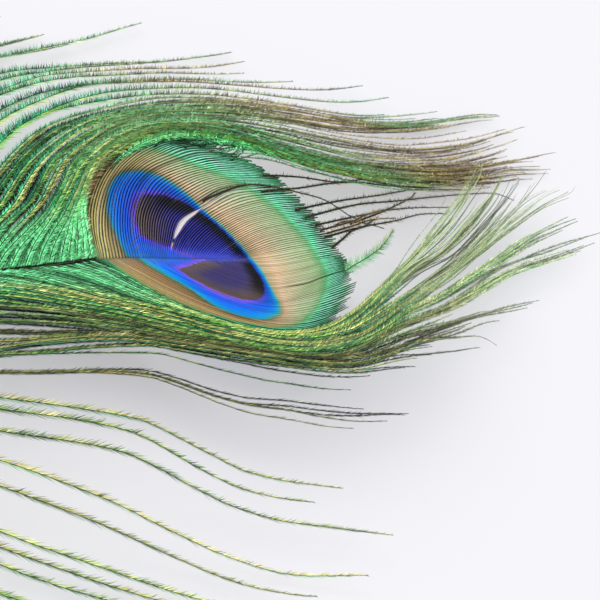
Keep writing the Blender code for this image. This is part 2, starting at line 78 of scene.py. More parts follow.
# %% [markdown]
# Feathers get their colour from thin layers that mirror the light, so a single small lamp would give
# hard sparks. Two wide lamps and a bright sky all round give the soft light of a white table by a
# window, with one side a little stronger so that the ribs still show.

# %% Table and light
TABLE_SIZE = 6.0
TABLE_COLOUR = (0.45, 0.445, 0.46)
TABLE_ROUGHNESS = 0.8
# The table glows a little, as paper does that is lit from all round.
TABLE_GLOW = (0.97, 0.96, 1.0, 1.0)
TABLE_GLOW_STRENGTH = 0.4
SKY_COLOUR = (0.97, 0.98, 1.0, 1.0)
SKY_STRENGTH = 0.9
# Name, place, size, power and tint of each lamp.
LAMPS = (
    ("window", (-0.2, 0.9, 0.9), 0.9, 5.0, (1.0, 0.99, 0.97)),
    ("room", (0.5, -0.7, 0.8), 1.2, 3.0, (0.95, 0.97, 1.0)),
)


def area_lamp(name, spot, size, power, tint):
    """A square lamp at the spot that looks at the feather's middle."""
    bpy.ops.object.light_add(type="AREA", location=spot)
    lamp = bpy.context.object
    lamp.name = name
    lamp.rotation_euler = (-Vector(spot)).to_track_quat("-Z", "Y").to_euler()
    lamp.data.size = size
    lamp.data.energy = power
    lamp.data.color = tint


def white_table():
    bpy.ops.mesh.primitive_plane_add(size=TABLE_SIZE)
    table = bpy.context.object
    table.name = "table"
    white = bpy.data.materials.new("table_white")
    white.use_nodes = True
    sockets = white.node_tree.nodes["Principled BSDF"].inputs
    sockets["Base Color"].default_value = (*TABLE_COLOUR, 1.0)
    sockets["Roughness"].default_value = TABLE_ROUGHNESS
    sockets["Emission Color"].default_value = TABLE_GLOW
    sockets["Emission Strength"].default_value = TABLE_GLOW_STRENGTH
    table.data.materials.append(white)
    return table


def pale_sky():
    sky = bpy.data.worlds.new("sky")
    sky.use_nodes = True
    sockets = sky.node_tree.nodes["Background"].inputs
    sockets["Color"].default_value = SKY_COLOUR
    sockets["Strength"].default_value = SKY_STRENGTH
    bpy.context.scene.world = sky


table = white_table()
for lamp in LAMPS:
    area_lamp(*lamp)
pale_sky()
print("table and", len(LAMPS), "lamps")

# %% [markdown]
# ## The routes of the barbs
#
# Each barb leaves the shaft at its root and runs out in a long curve. A few guide paths are given as points
# in millimetres from the centre of the eye, and every barb between two of them is a blend of both at equal
# length along the way. So barbs that keep to their own lanes never cross, however many there are. They all
# start at the shaft, so its axis comes first.

# %% The shaft's axis
# Where the centre of the eye lies in the frame of the solids.
EYE_X = 64.2
EYE_Y = 5.2
# The shaft's axis: x, y, height over the table and radius.
SHAFT = (
    (-215.0, -19.0, 1.44, 1.1),
    (-198.0, -17.3, 1.5, 1.42),
    (-160.0, -13.7, 3.6, 1.35),
    (-120.0, -10.4, 5.3, 1.1),
    (-85.0, -7.7, 5.8, 0.82),
    (-55.0, -5.3, 5.2, 0.55),
    (-30.0, -3.1, 4.4, 0.34),
    (-14.0, -0.5, 3.9, 0.22),
    (0.0, 0.0, 3.5, 0.16),
    (9.0, 0.1, 3.4, 0.12),
)
print("the shaft is", SHAFT[-1][0] - SHAFT[0][0], "mm long")

# %% [markdown]
# The guides of the stem are even curves, so four numbers give each. Those that sweep round the eye
# bend to and fro, and so do the eye's own. They are lists of points, as many as each bend needs.

# %% Guide paths
# Root x, length, then the angle to the shaft at the root and at the tip.
LEFT_STEM = (
    (-172.0, 48.0, 60.0, 42.0),
    (-150.0, 62.0, 56.0, 34.0),
    (-120.0, 75.0, 53.0, 28.0),
    (-90.0, 84.6, 51.0, 23.0),
    (-62.0, 94.0, 50.0, 17.0),
)
RIGHT_STEM = (
    *LEFT_STEM[:2],
    (-120.0, 72.4, 53.0, 28.0),
    (-90.0, 84.0, 46.0, 14.0),
)
# Points x, y of each path from root to tip: barbs that sweep round the eye, and the eye's own.
LEFT_SWEEP = (
    ((-45, -4.4), (-40, -1.8), (-34.5, 1.9), (-29.5, 5.4), (-24.5, 9.2), (-18.6, 13.4), (-11, 17.6),
     (1, 21.6), (12, 24.4), (27, 26), (52, 28.4), (74.5, 32.6), (86, 35)),
    ((-35, -3.5), (-31, -0.7), (-27.8, 1.9), (-25, 3.8), (-21.3, 6.1), (-18.1, 8.8), (-14.8, 11.6),
     (-10.6, 14.3), (-3.4, 17.8), (4.1, 20.3), (12, 21.7), (26.5, 22.6), (45, 23.8), (63.7, 28),
     (83.4, 32.5), (93, 33.5)),
    ((-31, -3.1), (-28.9, -1.2), (-26.4, 0.5), (-23.7, 2.1), (-19.5, 4.8), (-14.1, 9.2), (-11.2, 11.9),
     (-6.8, 14.7), (0.4, 18.2), (8.2, 20.2), (16.1, 20.9), (26, 20.2), (42.5, 20), (58.5, 22),
     (76.6, 26), (94, 30.4)),
    ((-27, -2.5), (-25.4, -0.8), (-23.5, 0.9), (-19.4, 4), (-15.1, 7.4), (-12.8, 9.4), (-9.8, 12),
     (-4.2, 15.4), (3.1, 18.4), (11, 19.8), (18.9, 20.1), (28, 18.4), (42.5, 17.7), (58.5, 20.3),
     (76.6, 25), (94, 30)),
    ((-22.5, -1.8), (-20.9, 0.2), (-19, 1.9), (-16.9, 3.7), (-15.1, 5.3), (-11.3, 9.3), (-8.5, 12.1),
     (-5.2, 14.2), (2, 17.5), (9.8, 19.3), (17.8, 19.2), (29.7, 16.8), (42.5, 16.7), (58.5, 18.6),
     (72.5, 21.4), (91, 25.2)),
    ((-18, -1.1), (-16.8, 1), (-15.9, 2.6), (-15.2, 4), (-14.4, 5.3), (-11.2, 8.9), (-7.9, 12.1),
     (-4.4, 14.5), (2.9, 17.6), (10.7, 19.3), (18.7, 18.6), (30, 15.6), (44.4, 15.1), (65.1, 18.8),
     (80.4, 21.6), (91, 22.6)),
    ((-15.4, -0.7), (-14.9, 1.5), (-14.4, 3.2), (-13.8, 4.8), (-12.8, 6.5), (-9.9, 9.6), (-7.1, 12),
     (-3.3, 14.4), (4, 17.4), (11.9, 18.6), (19.9, 17.4), (31.8, 14.6), (47.7, 15.1), (65, 17.4),
     (80.4, 19.8), (89, 20.4)),
)
LEFT_EYE = (
    ((-14, 0), (-13.2, 1.4), (-12.3, 3.2), (-11, 5.3), (-9.3, 7.5), (-7.2, 9.7), (-4.6, 11.9), (-1.6, 13.9),
     (3, 16.2), (10, 17.9), (22, 17.4), (35, 15.2), (52, 15.9), (72, 21), (85, 25.5)),
    ((-10.3, 0), (-8.9, 3.1), (-7.6, 5.3), (-6.1, 7.4), (-4.4, 9.4), (-2.4, 11.1), (1, 13.3), (5.3, 15),
     (11, 16.6), (20, 16.2), (31, 13.8), (47, 13.9), (67, 17), (84, 19)),
    ((-7.4, 0), (-6.5, 2.4), (-5.4, 4.6), (-3.6, 6.9), (-1.3, 9), (0.8, 10.7), (3.6, 12.1), (8.6, 13.6),
     (14, 14.6), (18.5, 14.4), (30, 12.6), (46, 12.9), (60, 14.2)),
    ((-4.9, 0), (-3.5, 2.3), (-1.2, 5.1), (0.3, 6.5), (2, 7.7), (4.6, 9), (10.2, 11.2), (14.8, 12),
     (18.2, 12.1), (24, 12), (36, 12), (54, 12.9), (66, 13.4)),
    ((-3, 0), (-1.9, 1.5), (-0.6, 2.8), (0.8, 4), (2.8, 5.5), (4.9, 6.5), (7.2, 7.5), (11.9, 9.5),
     (14.4, 10.1), (17.7, 10.4), (21.4, 10.7), (24.5, 11), (36, 11.2), (54, 11.4)),
    ((-1.5, 0), (-0.6, 1.2), (0.8, 2.3), (2.3, 3.4), (4.4, 4.6), (6.8, 5.6), (11.1, 7.2), (15.7, 8.4),
     (19.6, 9), (22.7, 9.2), (26.5, 9.3), (38, 9.6), (54, 9.9)),
    ((2, 0), (3.2, 1), (4.8, 1.9), (8.4, 3.6), (13, 5.3), (17.3, 6.2), (21.2, 6.7), (24.4, 6.9), (27, 7.1),
     (38, 7.6), (50, 8)),
    ((6, 0.1), (7.5, 0.75), (9.8, 1.6), (14.4, 3.1), (19.5, 4), (23.9, 4.5), (27, 4.9), (32, 5.6),
     (40, 6.6)),
    ((9, 0.1), (10.4, 0.3), (14.2, 0.75), (19.5, 1.5), (24.8, 2.1), (27, 2.3)),
)
RIGHT_SWEEP = (
    ((-74, -7), (-66, -13.6), (-58, -17.2), (-49, -18.4), (-42.2, -18), (-36.9, -17.8), (-33.1, -17.5),
     (-28.1, -17.1), (-23, -17), (-20.3, -17.4), (-15.5, -19.6), (-12.6, -20.7), (-9.4, -21.7),
     (-5.7, -22.2), (-1.8, -22.7), (2.1, -23), (6.1, -23.1), (11.6, -22.9), (18.3, -23.2), (24, -23.5)),
    ((-69, -6.5), (-63, -12), (-56, -15.3), (-48, -16.9), (-41.5, -17), (-35.6, -16.2), (-31.2, -15.8),
     (-26.9, -15.6), (-22.1, -15.9), (-17.6, -17.6), (-15, -18.9), (-12.2, -20.1), (-9.1, -21.2),
     (-5.3, -21.8), (-1.4, -22.2), (2.5, -22.5), (6.8, -22.3), (13.3, -20.8), (24, -19.8), (31.6, -18.6),
     (32.3, -21.5)),
    ((-61.5, -5.8), (-57, -7.8), (-51, -10.2), (-44, -12), (-38.1, -12.6), (-33, -13), (-28, -13.7),
     (-24.4, -14.3), (-19, -15.9), (-14.4, -18.3), (-11.7, -19.6), (-8.7, -20.7), (-5, -21.4),
     (-1, -21.8), (3.1, -21.8), (7.8, -21.1), (21.2, -17.7), (37.4, -12.8), (51.9, -9.3)),
    ((-55, -5.3), (-48, -7.6), (-42, -9.3), (-36.3, -10.3), (-31.4, -10.9), (-25.9, -12), (-21.3, -13.3),
     (-18, -14.7), (-13.8, -17.5), (-11.3, -19.1), (-8.2, -20.2), (-4.6, -20.9), (-0.5, -21.2),
     (3.9, -20.8), (9.3, -19.5), (17.6, -16.5), (33.4, -11.4), (54.6, -2.8), (71.8, 2), (84.4, 5)),
    ((-49, -4.8), (-45, -5.9), (-40, -7.2), (-34.6, -8.1), (-30.9, -8.7), (-26.5, -10.1), (-22, -11.5),
     (-17.3, -13.8), (-13.1, -16.8), (-10.7, -18.4), (-7.7, -19.6), (-3.9, -20.2), (0.2, -20.4),
     (4.7, -19.9), (10.2, -18.6), (23.7, -13.1), (37.7, -7.6), (58.9, 1.2), (78.3, 8.2), (91.5, 11.7)),
    ((-43, -4.3), (-38, -5.6), (-33.1, -6.2), (-28.2, -7.1), (-23.6, -9.2), (-19.7, -10.6),
     (-16.3, -12.6), (-12.5, -16.1), (-10.1, -17.7), (-7, -18.9), (-3.3, -19.4), (1, -19.5), (5.8, -18.8),
     (11.2, -17.4), (31.1, -8.7), (54.1, 2.3), (76.7, 12.6), (87.9, 16.4), (90.4, 17.7)),
    ((-35.5, -3.6), (-31.6, -4.3), (-28.6, -4.9), (-26, -6), (-23, -7.6), (-19.4, -9.7), (-16.1, -11.4),
     (-13.8, -13.1), (-11.8, -15.2), (-9.4, -17), (-6.3, -18.1), (-2.5, -18.6), (1.9, -18.6),
     (6.8, -17.8), (11.7, -16.2), (33.2, -6.8), (49.6, 0.6), (68.1, 10.3), (82.5, 18.5)),
    ((-25.2, -2.3), (-21.7, -4.3), (-18.3, -7.2), (-16.5, -9.3), (-13.3, -12.5), (-11.3, -14.7),
     (-8.8, -16.4), (-5.6, -17.4), (-1.7, -17.8), (2.8, -17.7), (8.2, -16.4), (13, -14.5), (33.7, -3.9),
     (48.3, 2.4), (65.1, 11.6), (76.1, 18.7)),
    ((-16.5, -0.9), (-15.3, -4.5), (-14.5, -7.3), (-12.5, -11.5), (-10.6, -13.9), (-8.2, -15.7),
     (-4.9, -16.7), (-0.9, -17), (3.8, -16.6), (9.3, -14.9), (19.3, -10.4), (37.2, -0.8), (53.1, 8),
     (67.8, 17.3), (72.5, 21)),
)
RIGHT_EYE = (
    ((-14, -0.5), (-12, -4.5), (-9, -9), (-4.5, -12.7), (0, -14.3), (5, -14.4), (10, -13.2), (14, -11.9)),
    ((-9.5, -0.2), (-7.2, -5), (-3.6, -9), (0, -11.2), (4.2, -12), (8.5, -11.6), (13, -10.6), (17, -9.4),
     (19, -8.7)),
    ((-4.5, -0.1), (-2.4, -4), (1, -7.3), (4, -8.6), (7.6, -8.6), (12, -7.5), (17, -6.2), (21.5, -4.9)),
    ((-1, 0), (1, -3), (4, -5.4), (7.5, -6.2), (11.5, -5.7), (14.7, -5.1), (18.4, -3.9), (23.4, -2.5),
     (28, -0.9), (33, 1.4), (40, 5.5)),
    ((3, -0.1), (5.5, -2.4), (8.6, -3.4), (13.6, -2.9), (19.6, -1.5), (24, -0.7), (26.5, -0.3)),
    ((6.5, -0.1), (9, -1.1), (13.6, -1), (19.6, 0.1), (25, 0.8)),
    ((9, 0.1), (10.4, 0.3), (14.2, 0.75), (19.5, 1.5), (24.8, 2.1), (27, 2.3)),
)
print("guide paths in the eye: left", len(LEFT_EYE), "right", len(RIGHT_EYE))

# %% [markdown]
# A smooth curve through its points makes a guide a path, and the path is then paced out, one point
# to the millimetre. The lane of any barb is read from the two paths beside it, at the same distance
# along both.

# %% Lanes between the guides
LONGEST_BARB = 180
FINE_STEPS = 300
STEM_STEPS = 12


def smooth_step(low, high, value):
    t = np.clip((value - low) / (high - low), 0.0, 1.0)
    return t * t * (3.0 - 2.0 * t)


def between(first, second, share):
    return first + (second - first) * share


def through(points, t):
    """A smooth curve through the points, read at t from 0 to the last index."""
    points = np.asarray(points, float)
    last = len(points) - 1
    t = np.clip(np.asarray(t, float), 0.0, last)
    i = np.minimum(t.astype(int), last - 1)
    f = (t - i)[..., None]
    ends = np.vstack([2 * points[0] - points[1], points, 2 * points[-1] - points[-2]])
    a, b, c, d = ends[i], ends[i + 1], ends[i + 2], ends[i + 3]
    square = (2 * a - 5 * b + 4 * c - d) * f**2
    cube = (3 * b - a - 3 * c + d) * f**3
    return 0.5 * (2 * b + (c - a) * f + square + cube)


def shaft_at(x):
    """x, y, height and radius of the shaft abreast of x."""
    stations = np.array(SHAFT)[:, 0]
    return through(SHAFT, np.interp(x, stations, np.arange(len(stations))))


def stem_guide(side, root, length, start_angle, end_angle):
    """The path of a stem barb that curves evenly towards the tip."""
    s = np.linspace(0.0, length, STEM_STEPS)
    angle = np.radians(start_angle + (end_angle - start_angle) * s / length)
    step = length / (STEM_STEPS - 1)
    x = root + np.concatenate([[0.0], np.cumsum(np.cos(angle[:-1])) * step])
    y = shaft_at(root)[1] + side * np.concatenate([[0.0], np.cumsum(np.sin(angle[:-1])) * step])
    return np.column_stack([x, y])


def distances(points):
    """How far each point is along the path."""
    return np.concatenate([[0.0], np.cumsum(np.linalg.norm(np.diff(points, axis=0), axis=1))])


def paced(points):
    """The path's length, and its points at each millimetre, carried straight on past its end."""
    fine = through(points, np.linspace(0, len(points) - 1, FINE_STEPS))
    run = distances(fine)
    pace = np.arange(LONGEST_BARB + 1.0)
    path = np.column_stack([np.interp(pace, run, fine[:, k]) for k in range(2)])
    heading = (fine[-1] - fine[-4]) / np.linalg.norm(fine[-1] - fine[-4])
    path += np.maximum(pace - run[-1], 0.0)[:, None] * heading
    return run[-1], path


def guide_set(side, stem, sweep=(), eye=()):
    """Every guide path of one side, from the quill to the end of the shaft."""
    return [paced(path) for path in [*(stem_guide(side, *row) for row in stem), *sweep, *eye]]


def barb_length(guides, root):
    """How long a barb with this root is, between the lengths of the paths beside it."""
    return np.interp(root, [path[0, 0] for _, path in guides], [length for length, _ in guides])


def lane(guides, roots, run):
    """Points at these distances along a barb. The root may drift from point to point."""
    table = [path[0, 0] for _, path in guides]
    paths = np.array([path for _, path in guides])
    place = np.interp(np.broadcast_to(roots, run.shape), table, np.arange(len(table)))
    i = np.minimum(place.astype(int), len(table) - 2)
    f = (place - i)[:, None]
    k = run.astype(int)
    g = (run - k)[:, None]
    low = between(paths[i, k], paths[i, k + 1], g)
    high = between(paths[i + 1, k], paths[i + 1, k + 1], g)
    return between(low, high, f)


GUIDES = {
    1: guide_set(1, LEFT_STEM, LEFT_SWEEP, LEFT_EYE),
    -1: guide_set(-1, RIGHT_STEM, RIGHT_SWEEP, RIGHT_EYE),
}
print("guide paths", {side: len(paths) for side, paths in GUIDES.items()})

# %% [markdown]
# A feather that lies face up isn't flat. Its barbs rise a little from the shaft, and then sink until
# they rest on the table. All barbs are laid on this one surface, each at a small height of its own.

# %% Height of the sheet
# The sheet of barbs rises from the shaft and then falls to rest, aside of it and past the tip.
STEM_RISE = 0.08
EYE_RISE = math.tan(math.radians(10.0))
NEAR_EYE = (-75.0, -30.0)
STEM_FALL = (12.0, 36.0)
EYE_FALL = (18.0, 44.0)
TIP_FALL = (18.0, 80.0)
REST_HEIGHT = 0.5


def sheet_height(x, y):
    """How high the sheet of barbs lies: up from the shaft, then down to rest."""
    shaft = shaft_at(np.clip(x, SHAFT[0][0], SHAFT[-1][0]))
    aside = np.abs(y - shaft[..., 1])
    by_eye = smooth_step(*NEAR_EYE, x)
    top = shaft[..., 2] + between(STEM_RISE, EYE_RISE, by_eye) * aside
    fall_from = between(STEM_FALL[0], EYE_FALL[0], by_eye)
    fall_to = between(STEM_FALL[1], EYE_FALL[1], by_eye)
    side_fall = smooth_step(fall_from, fall_to, aside)
    tip_fall = smooth_step(*TIP_FALL, x)
    return REST_HEIGHT + (top - REST_HEIGHT) * (1.0 - side_fall) * (1.0 - tip_fall)


print("the sheet at the middle of the left half lies", round(float(sheet_height(0.0, 8.0)), 1), "mm high")

# %% [markdown]
# ## Many small things as one mesh
#
# A barb has hundreds of barbules, and a scene with a hundred thousand objects would never finish.
# So the points, faces and values of all barbs of a piece are gathered in lists and made into one
# mesh. The values travel with the points as attributes, and the material reads them: how far along
# its barb a point is, on which side of the rib, and a chance number that is the barb's own.

# %% Gather points into one mesh


class Barbs:
    """Sheets and blades gathered for one piece, with the values that its material reads."""

    def __init__(self, names):
        self.points = []
        self.faces = []
        self.values = {name: [] for name in names}
        self.count = 0

    def add(self, points, faces, values):
        """Points in rows, faces that count from the first of them, and each point's values."""
        self.faces.extend((faces + self.count).tolist())
        self.count += points[..., 0].size
        self.points.append(points.reshape(-1, 3))
        for name, held in self.values.items():
            held.append(np.broadcast_to(values[name], points.shape[:-1]).ravel())

    def sheet(self, grid, values):
        """A grid of points, rows along the barb and columns across it, joined by quads."""
        rows, columns = grid.shape[:2]
        i, j = np.meshgrid(np.arange(rows - 1), np.arange(columns - 1), indexing="ij")
        a = (i * columns + j).ravel()
        self.add(grid, np.column_stack([a, a + columns, a + columns + 1, a + 1]), values)

    def blades(self, foot, ahead, tip, row, values):
        """One triangle for each barbule, from its foot on the rib to its tip."""
        corners = np.arange(3 * len(foot)).reshape(-1, 3)
        faces = corners if row > 0 else corners[:, ::-1]
        self.add(np.stack([foot, ahead, tip], axis=1), faces, values)

    def piece(self, name, material, slot, *nodes):
        """Makes the mesh, and hides the solids that it stands for."""
        shift = np.array([EYE_X, EYE_Y, 0.0])
        points = (np.concatenate(self.points) + shift) * MM
        mesh = bpy.data.meshes.new(name)
        mesh.from_pydata(points, [], self.faces)
        for value, held in self.values.items():
            layer = mesh.attributes.new(value, "FLOAT", "POINT")
            layer.data.foreach_set("value", np.concatenate(held).astype(np.float32))
        mesh.materials.append(material)
        mesh.shade_smooth()
        obj = bpy.data.objects.new(name, mesh)
        bpy.context.scene.collection.objects.link(obj)
        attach(obj, "root")
        if nodes:
            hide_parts(*nodes)
        mesh.calc_loop_triangles()
        print(name, len(mesh.loop_triangles), "triangles")


def unit(vectors):
    return vectors / np.maximum(np.linalg.norm(vectors, axis=-1, keepdims=True), 1e-9)


def side_and_up(points):
    """Heading, left-hand side and upward direction at each point of a path."""
    heading = unit(np.gradient(points, axis=0))
    side = unit(np.cross((0.0, 0.0, 1.0), heading))
    return heading, side, np.cross(heading, side)


# %% [markdown]
# ## Shader sums
#
# A pattern on a feather is a sum: how far from the eye's middle, how far from the rib, plus a little
# chance. This class wraps one output of a material's nodes, so that such a sum can be written as a
# sum. Everything that isn't arithmetic comes from its method add.

# %% A wire in a material


def paint(colour):
    """The linear colour that nodes take, from red, green and blue on the screen, 0 to 255."""
    if isinstance(colour, Wire):
        return colour
    shown = np.array(colour) / 255.0
    linear = np.where(shown < 0.04045, shown / 12.92, ((shown + 0.055) / 1.055) ** 2.4)
    return (*(float(part) for part in linear), 1.0)


class Wire:
    """One output socket. Sums and products of wires add Math nodes."""

    def __init__(self, tree, socket=None):
        self.tree = tree
        self.socket = socket

    def add(self, kind, settings=(), values=(), output=0):
        """Any node: its settings first, then the values or wires of its sockets."""
        node = self.tree.nodes.new(kind)
        for name, setting in dict(settings).items():
            if name == "stops":
                fill_ramp(node.color_ramp, setting)
            else:
                setattr(node, name, setting)
        for key, value in dict(values).items():
            if isinstance(value, Wire):
                self.tree.links.new(value.socket, node.inputs[key])
            else:
                node.inputs[key].default_value = value
        return Wire(self.tree, node.outputs[output])

    def math(self, operation, *terms):
        return self.add("ShaderNodeMath", {"operation": operation}, dict(enumerate(terms)))

    def __add__(self, other):
        return self.math("ADD", self, other)

    __radd__ = __add__

    def __sub__(self, other):
        return self.math("SUBTRACT", self, other)

    def __rsub__(self, other):
        return self.math("SUBTRACT", other, self)

    def __mul__(self, other):
        return self.math("MULTIPLY", self, other)

    __rmul__ = __mul__

    def __abs__(self):
        return self.math("ABSOLUTE", self)

    def value(self, name):
        """The attribute with this name."""
        return self.add("ShaderNodeAttribute", {"attribute_name": name}, output=2)

    def step(self, low, high):
        """0 below low, 1 above high, smooth between. With low over high it falls."""
        values = {"Value": self, "From Min": min(low, high), "From Max": max(low, high)}
        if low > high:
            values |= {"To Min": 1.0, "To Max": 0.0}
        return self.add("ShaderNodeMapRange", {"interpolation_type": "SMOOTHSTEP"}, values)

    def mix(self, first, second):
        """The first colour where this wire is 0, the second where it is 1. Each may be a wire."""
        values = {0: self, 6: paint(first), 7: paint(second)}
        return self.add("ShaderNodeMix", {"data_type": "RGBA"}, values, output=2)

    def shaded(self, colour):
        """The colour times this wire."""
        return self.add("ShaderNodeVectorMath", {"operation": "SCALE"}, {0: colour, "Scale": self})

    def grain(self, along, across, scale, detail=2.0):
        """Noise from 0 to 1 that is stretched by what along and across are made of."""
        place = self.add("ShaderNodeCombineXYZ", {}, {0: along, 1: across})
        return self.add("ShaderNodeTexNoise", {}, {"Vector": place, "Scale": scale, "Detail": detail})

    def ramp(self, stops):
        return self.add("ShaderNodeValToRGB", {"stops": stops}, {0: self})


def fill_ramp(ramp, stops):
    """Sets a colour ramp to stops of a place and a colour."""
    while len(ramp.elements) < len(stops):
        ramp.elements.new(1.0)
    for element, (place, colour) in zip(ramp.elements, stops):
        element.position = place
        element.color = paint(colour)


# %% [markdown]
# Every material here has one shader. The helper makes it, gives a first wire to build sums from, and
# links the finished sums to the sockets of the shader.

# %% A new material


def new_material(name):
    """A material, a wire to start from, and a function that links wires to the shader."""
    material = bpy.data.materials.new(name)
    material.use_nodes = True
    tree = material.node_tree
    shader = tree.nodes["Principled BSDF"]

    def finish(**sockets):
        for socket, value in sockets.items():
            slot = shader.inputs[socket.replace("_", " ")]
            if isinstance(value, Wire):
                tree.links.new(value.socket, slot)
            else:
                slot.default_value = value

    return material, Wire(tree), finish


# %% [markdown]
# ## The eye
#
# The eye is drawn by the barbs together: each one is bronze, then blue, then dark, then bronze again
# as it passes through the rings. So the pattern is worked out once for the whole eye, as a number
# that grows from the middle: below 1 is the dark heart, 1 to 2 blue, 2 to 3 bronze, 3 to 4 the green
# rim. The heart is notched where the shaft comes in, and a wedge of the blue fills the notch.

# %% Rings of the eye
EYE_MIDDLE = (3.0, 0.0)
# Radius of each ring's outer edge at each 30 degrees, from the tip round to the quill.
LEFT_RINGS = (
    (6.5, 6.5, 7.2, 8.7, 10.2, 9.9, 8.2),
    (6.9, 6.8, 7.9, 11.8, 13.5, 13.5, 12.8),
    (18.8, 17.7, 15.5, 15.8, 15.0, 16.2, 17.4),
    (23.2, 23.1, 19.6, 17.4, 16.2, 17.2, 18.4),
)
RIGHT_RINGS = (
    (6.4, 6.1, 7.0, 8.4, 8.8, 7.6, 6.4),
    (7.0, 6.7, 8.0, 11.8, 13.2, 10.6, 11.2),
    (18.5, 14.2, 12.9, 13.9, 14.8, 16.2, 16.4),
    (23.0, 17.0, 15.1, 15.4, 15.8, 17.2, 18.0),
)
# Where the blue wedge that notches the heart ends, and half its angle, on the left and the right.
NOTCH = {1: (1.6, math.radians(20.5)), -1: (2.7, math.radians(18.5))}
# In the wedge the ring number jumps by this, then grows by 1 in so many millimetres.
NOTCH_JUMP = 0.05
NOTCH_INSIDE = 4.0
NOTCH_OUTSIDE = 6.0
# How far past the rim the ring number reaches 5.
PAST_RIM = 5.0


def ring_radii(side, x, y):
    """Distance from the eye's middle, the angle from the tip, and the four ring radii there."""
    dx = x - EYE_MIDDLE[0]
    dy = np.maximum(side * (y - EYE_MIDDLE[1]), 0.0)
    angle = np.arctan2(dy, dx)
    rings = LEFT_RINGS if side > 0 else RIGHT_RINGS
    radii = [through(np.array(ring)[:, None], angle / math.radians(30.0))[..., 0] for ring in rings]
    return np.hypot(dx, dy), angle, radii


def inside_rim(side, x, y):
    distance, _, radii = ring_radii(side, x, y)
    return radii[3] - distance


def ring_number(side, x, y):
    """The ring number at each point, and 0 to 1 from the tip's side to the quill's side."""
    distance, angle, radii = ring_radii(side, x, y)
    inner = [np.zeros_like(distance), *radii]
    outer = [*radii, radii[3] + PAST_RIM]
    number = sum(np.clip((distance - a) / (b - a), 0.0, 1.0) for a, b in zip(inner, outer))
    apex, half_angle = NOTCH[side]
    depth = ((apex - x) * math.tan(half_angle) - np.abs(y)) * math.cos(half_angle)
    inside = 1.0 + NOTCH_JUMP + depth / NOTCH_INSIDE
    notch = np.where(depth > 0.0, inside, 1.0 + depth / NOTCH_OUTSIDE)
    return np.maximum(number, notch), 0.5 - 0.5 * np.cos(angle)


print("the eye spans", LEFT_RINGS[3][3] + RIGHT_RINGS[3][3], "mm across")

# %% [markdown]
# The dark heart has colours of its own. On the left it turns from taupe to violet along the feather,
# on the right only its edge is taupe. Along the shaft the violet is brightest, and on the tip's side
# the heart has a black edge. Each of these is a value from 0 to 1 at every point of the eye, which
# the material mixes colours by.

# %% Colours of the heart
# The heart's black edge starts at these shares of the heart's radius, fades out between these shares
# of the way to the quill's side, and keeps clear of the shaft.
MARGIN_EDGE = (0.62, 0.86)
MARGIN_REACH = {1: (0.9, 0.55), -1: (0.6, 0.25)}
MARGIN_CLEAR = 1.2
MARGIN_CLEAR_BEFORE = (8.6, 5.0)
# Where the left heart turns from taupe to violet along the feather, leaning with the barbs.
VIOLET_FROM = (-6.5, 0.5)
VIOLET_LEAN = 0.35
# The right heart is taupe near its edge, from this ring number out and past these angles.
TAUPE_EDGE = (0.6, 0.92)
TAUPE_ANGLES = (math.radians(35), math.radians(85))
# The violet is brightest this close to the shaft, and between these places along it.
GLOW_REACH = {1: 2.2, -1: 0.35}
GLOW_FROM = (-7.0, 1.0)
GLOW_UNTIL = (9.5, 6.0)


def heart_margin(side, x, y):
    """1 in the black edge of the heart, on the tip's side, and 0 inside the heart."""
    distance, angle, radii = ring_radii(side, x, y)
    edge = smooth_step(*MARGIN_EDGE, distance / radii[0])
    kept_clear = MARGIN_CLEAR * smooth_step(*MARGIN_CLEAR_BEFORE, x)
    clear = smooth_step(0.0, MARGIN_CLEAR, np.abs(y) - kept_clear)
    return edge * clear * smooth_step(*MARGIN_REACH[side], 0.5 - 0.5 * np.cos(angle))


def heart_violet(side, x, y, number, angle):
    """0 where the dark heart is taupe, 1 where it is blue-violet."""
    if side > 0:
        return smooth_step(*VIOLET_FROM, x - VIOLET_LEAN * y)
    return 1.0 - smooth_step(*TAUPE_EDGE, number) * smooth_step(*TAUPE_ANGLES, angle)


def heart_glow(side, x, y):
    """1 along the shaft in the heart, where the violet is brightest, and 0 away from it."""
    near = np.exp(-((y / GLOW_REACH[side]) ** 2))
    return near * smooth_step(*GLOW_FROM, x) * smooth_step(*GLOW_UNTIL, x)


print("the heart is", LEFT_RINGS[0][0] + LEFT_RINGS[0][-1], "mm long, with its notch")

# %% [markdown]
# Where the feather is worn, a barb has come away from its neighbour. The sheet is parted there, or it stays
# closed and the shade in the crack is painted dark on it. Wear follows the lanes of the barbs, so it is
# worked out from the root of each point and its distance along the barb.

# %% Wear of the eye, and the painted shade of its cracks
# One barb has lost its barbules: the sheet parts there by this much at each distance along it.
SPLIT_ROOT = -3.0
SPLIT_RUN = (1.4, 1.9, 3.0, 3.5, 5.4, 7.4, 10.2, 12.2, 16.0, 40.0)
SPLIT_OPEN = (0.0, 0.09, 0.1, 0.06, 0.27, 0.34, 0.21, 0.05, 0.05, 0.06)
SPLIT_REACH = 1.6
# Cracks between barbs, whose shade is painted dark: root, and the distances along the barb where it starts
# and ends.
CRACKS = {
    1: ((-8.9, 11.0, 30.0), (-3.6, 11.5, 25.0)),
    -1: ((-1.0, 12.0, 29.0), (3.1, 12.0, 20.0)),
}
CRACK_WIDTH = 0.13
CRACK_TAPER = 4.0


def crack_shade_mask(side, roots, run):
    """1 where a crack's painted shade lies, 0 away from it, for each point's own root and distance along
    the barb.
    """
    deep = np.zeros_like(roots)
    for at, low, high in CRACKS[side]:
        ends = smooth_step(low, low + CRACK_TAPER, run) * smooth_step(high, high - CRACK_TAPER, run)
        deep = np.maximum(deep, np.exp(-(((roots - at) / CRACK_WIDTH) ** 2)) * ends[:, None])
    return deep


def split_opening(run):
    return np.interp(run, SPLIT_RUN, SPLIT_OPEN, left=0.0)


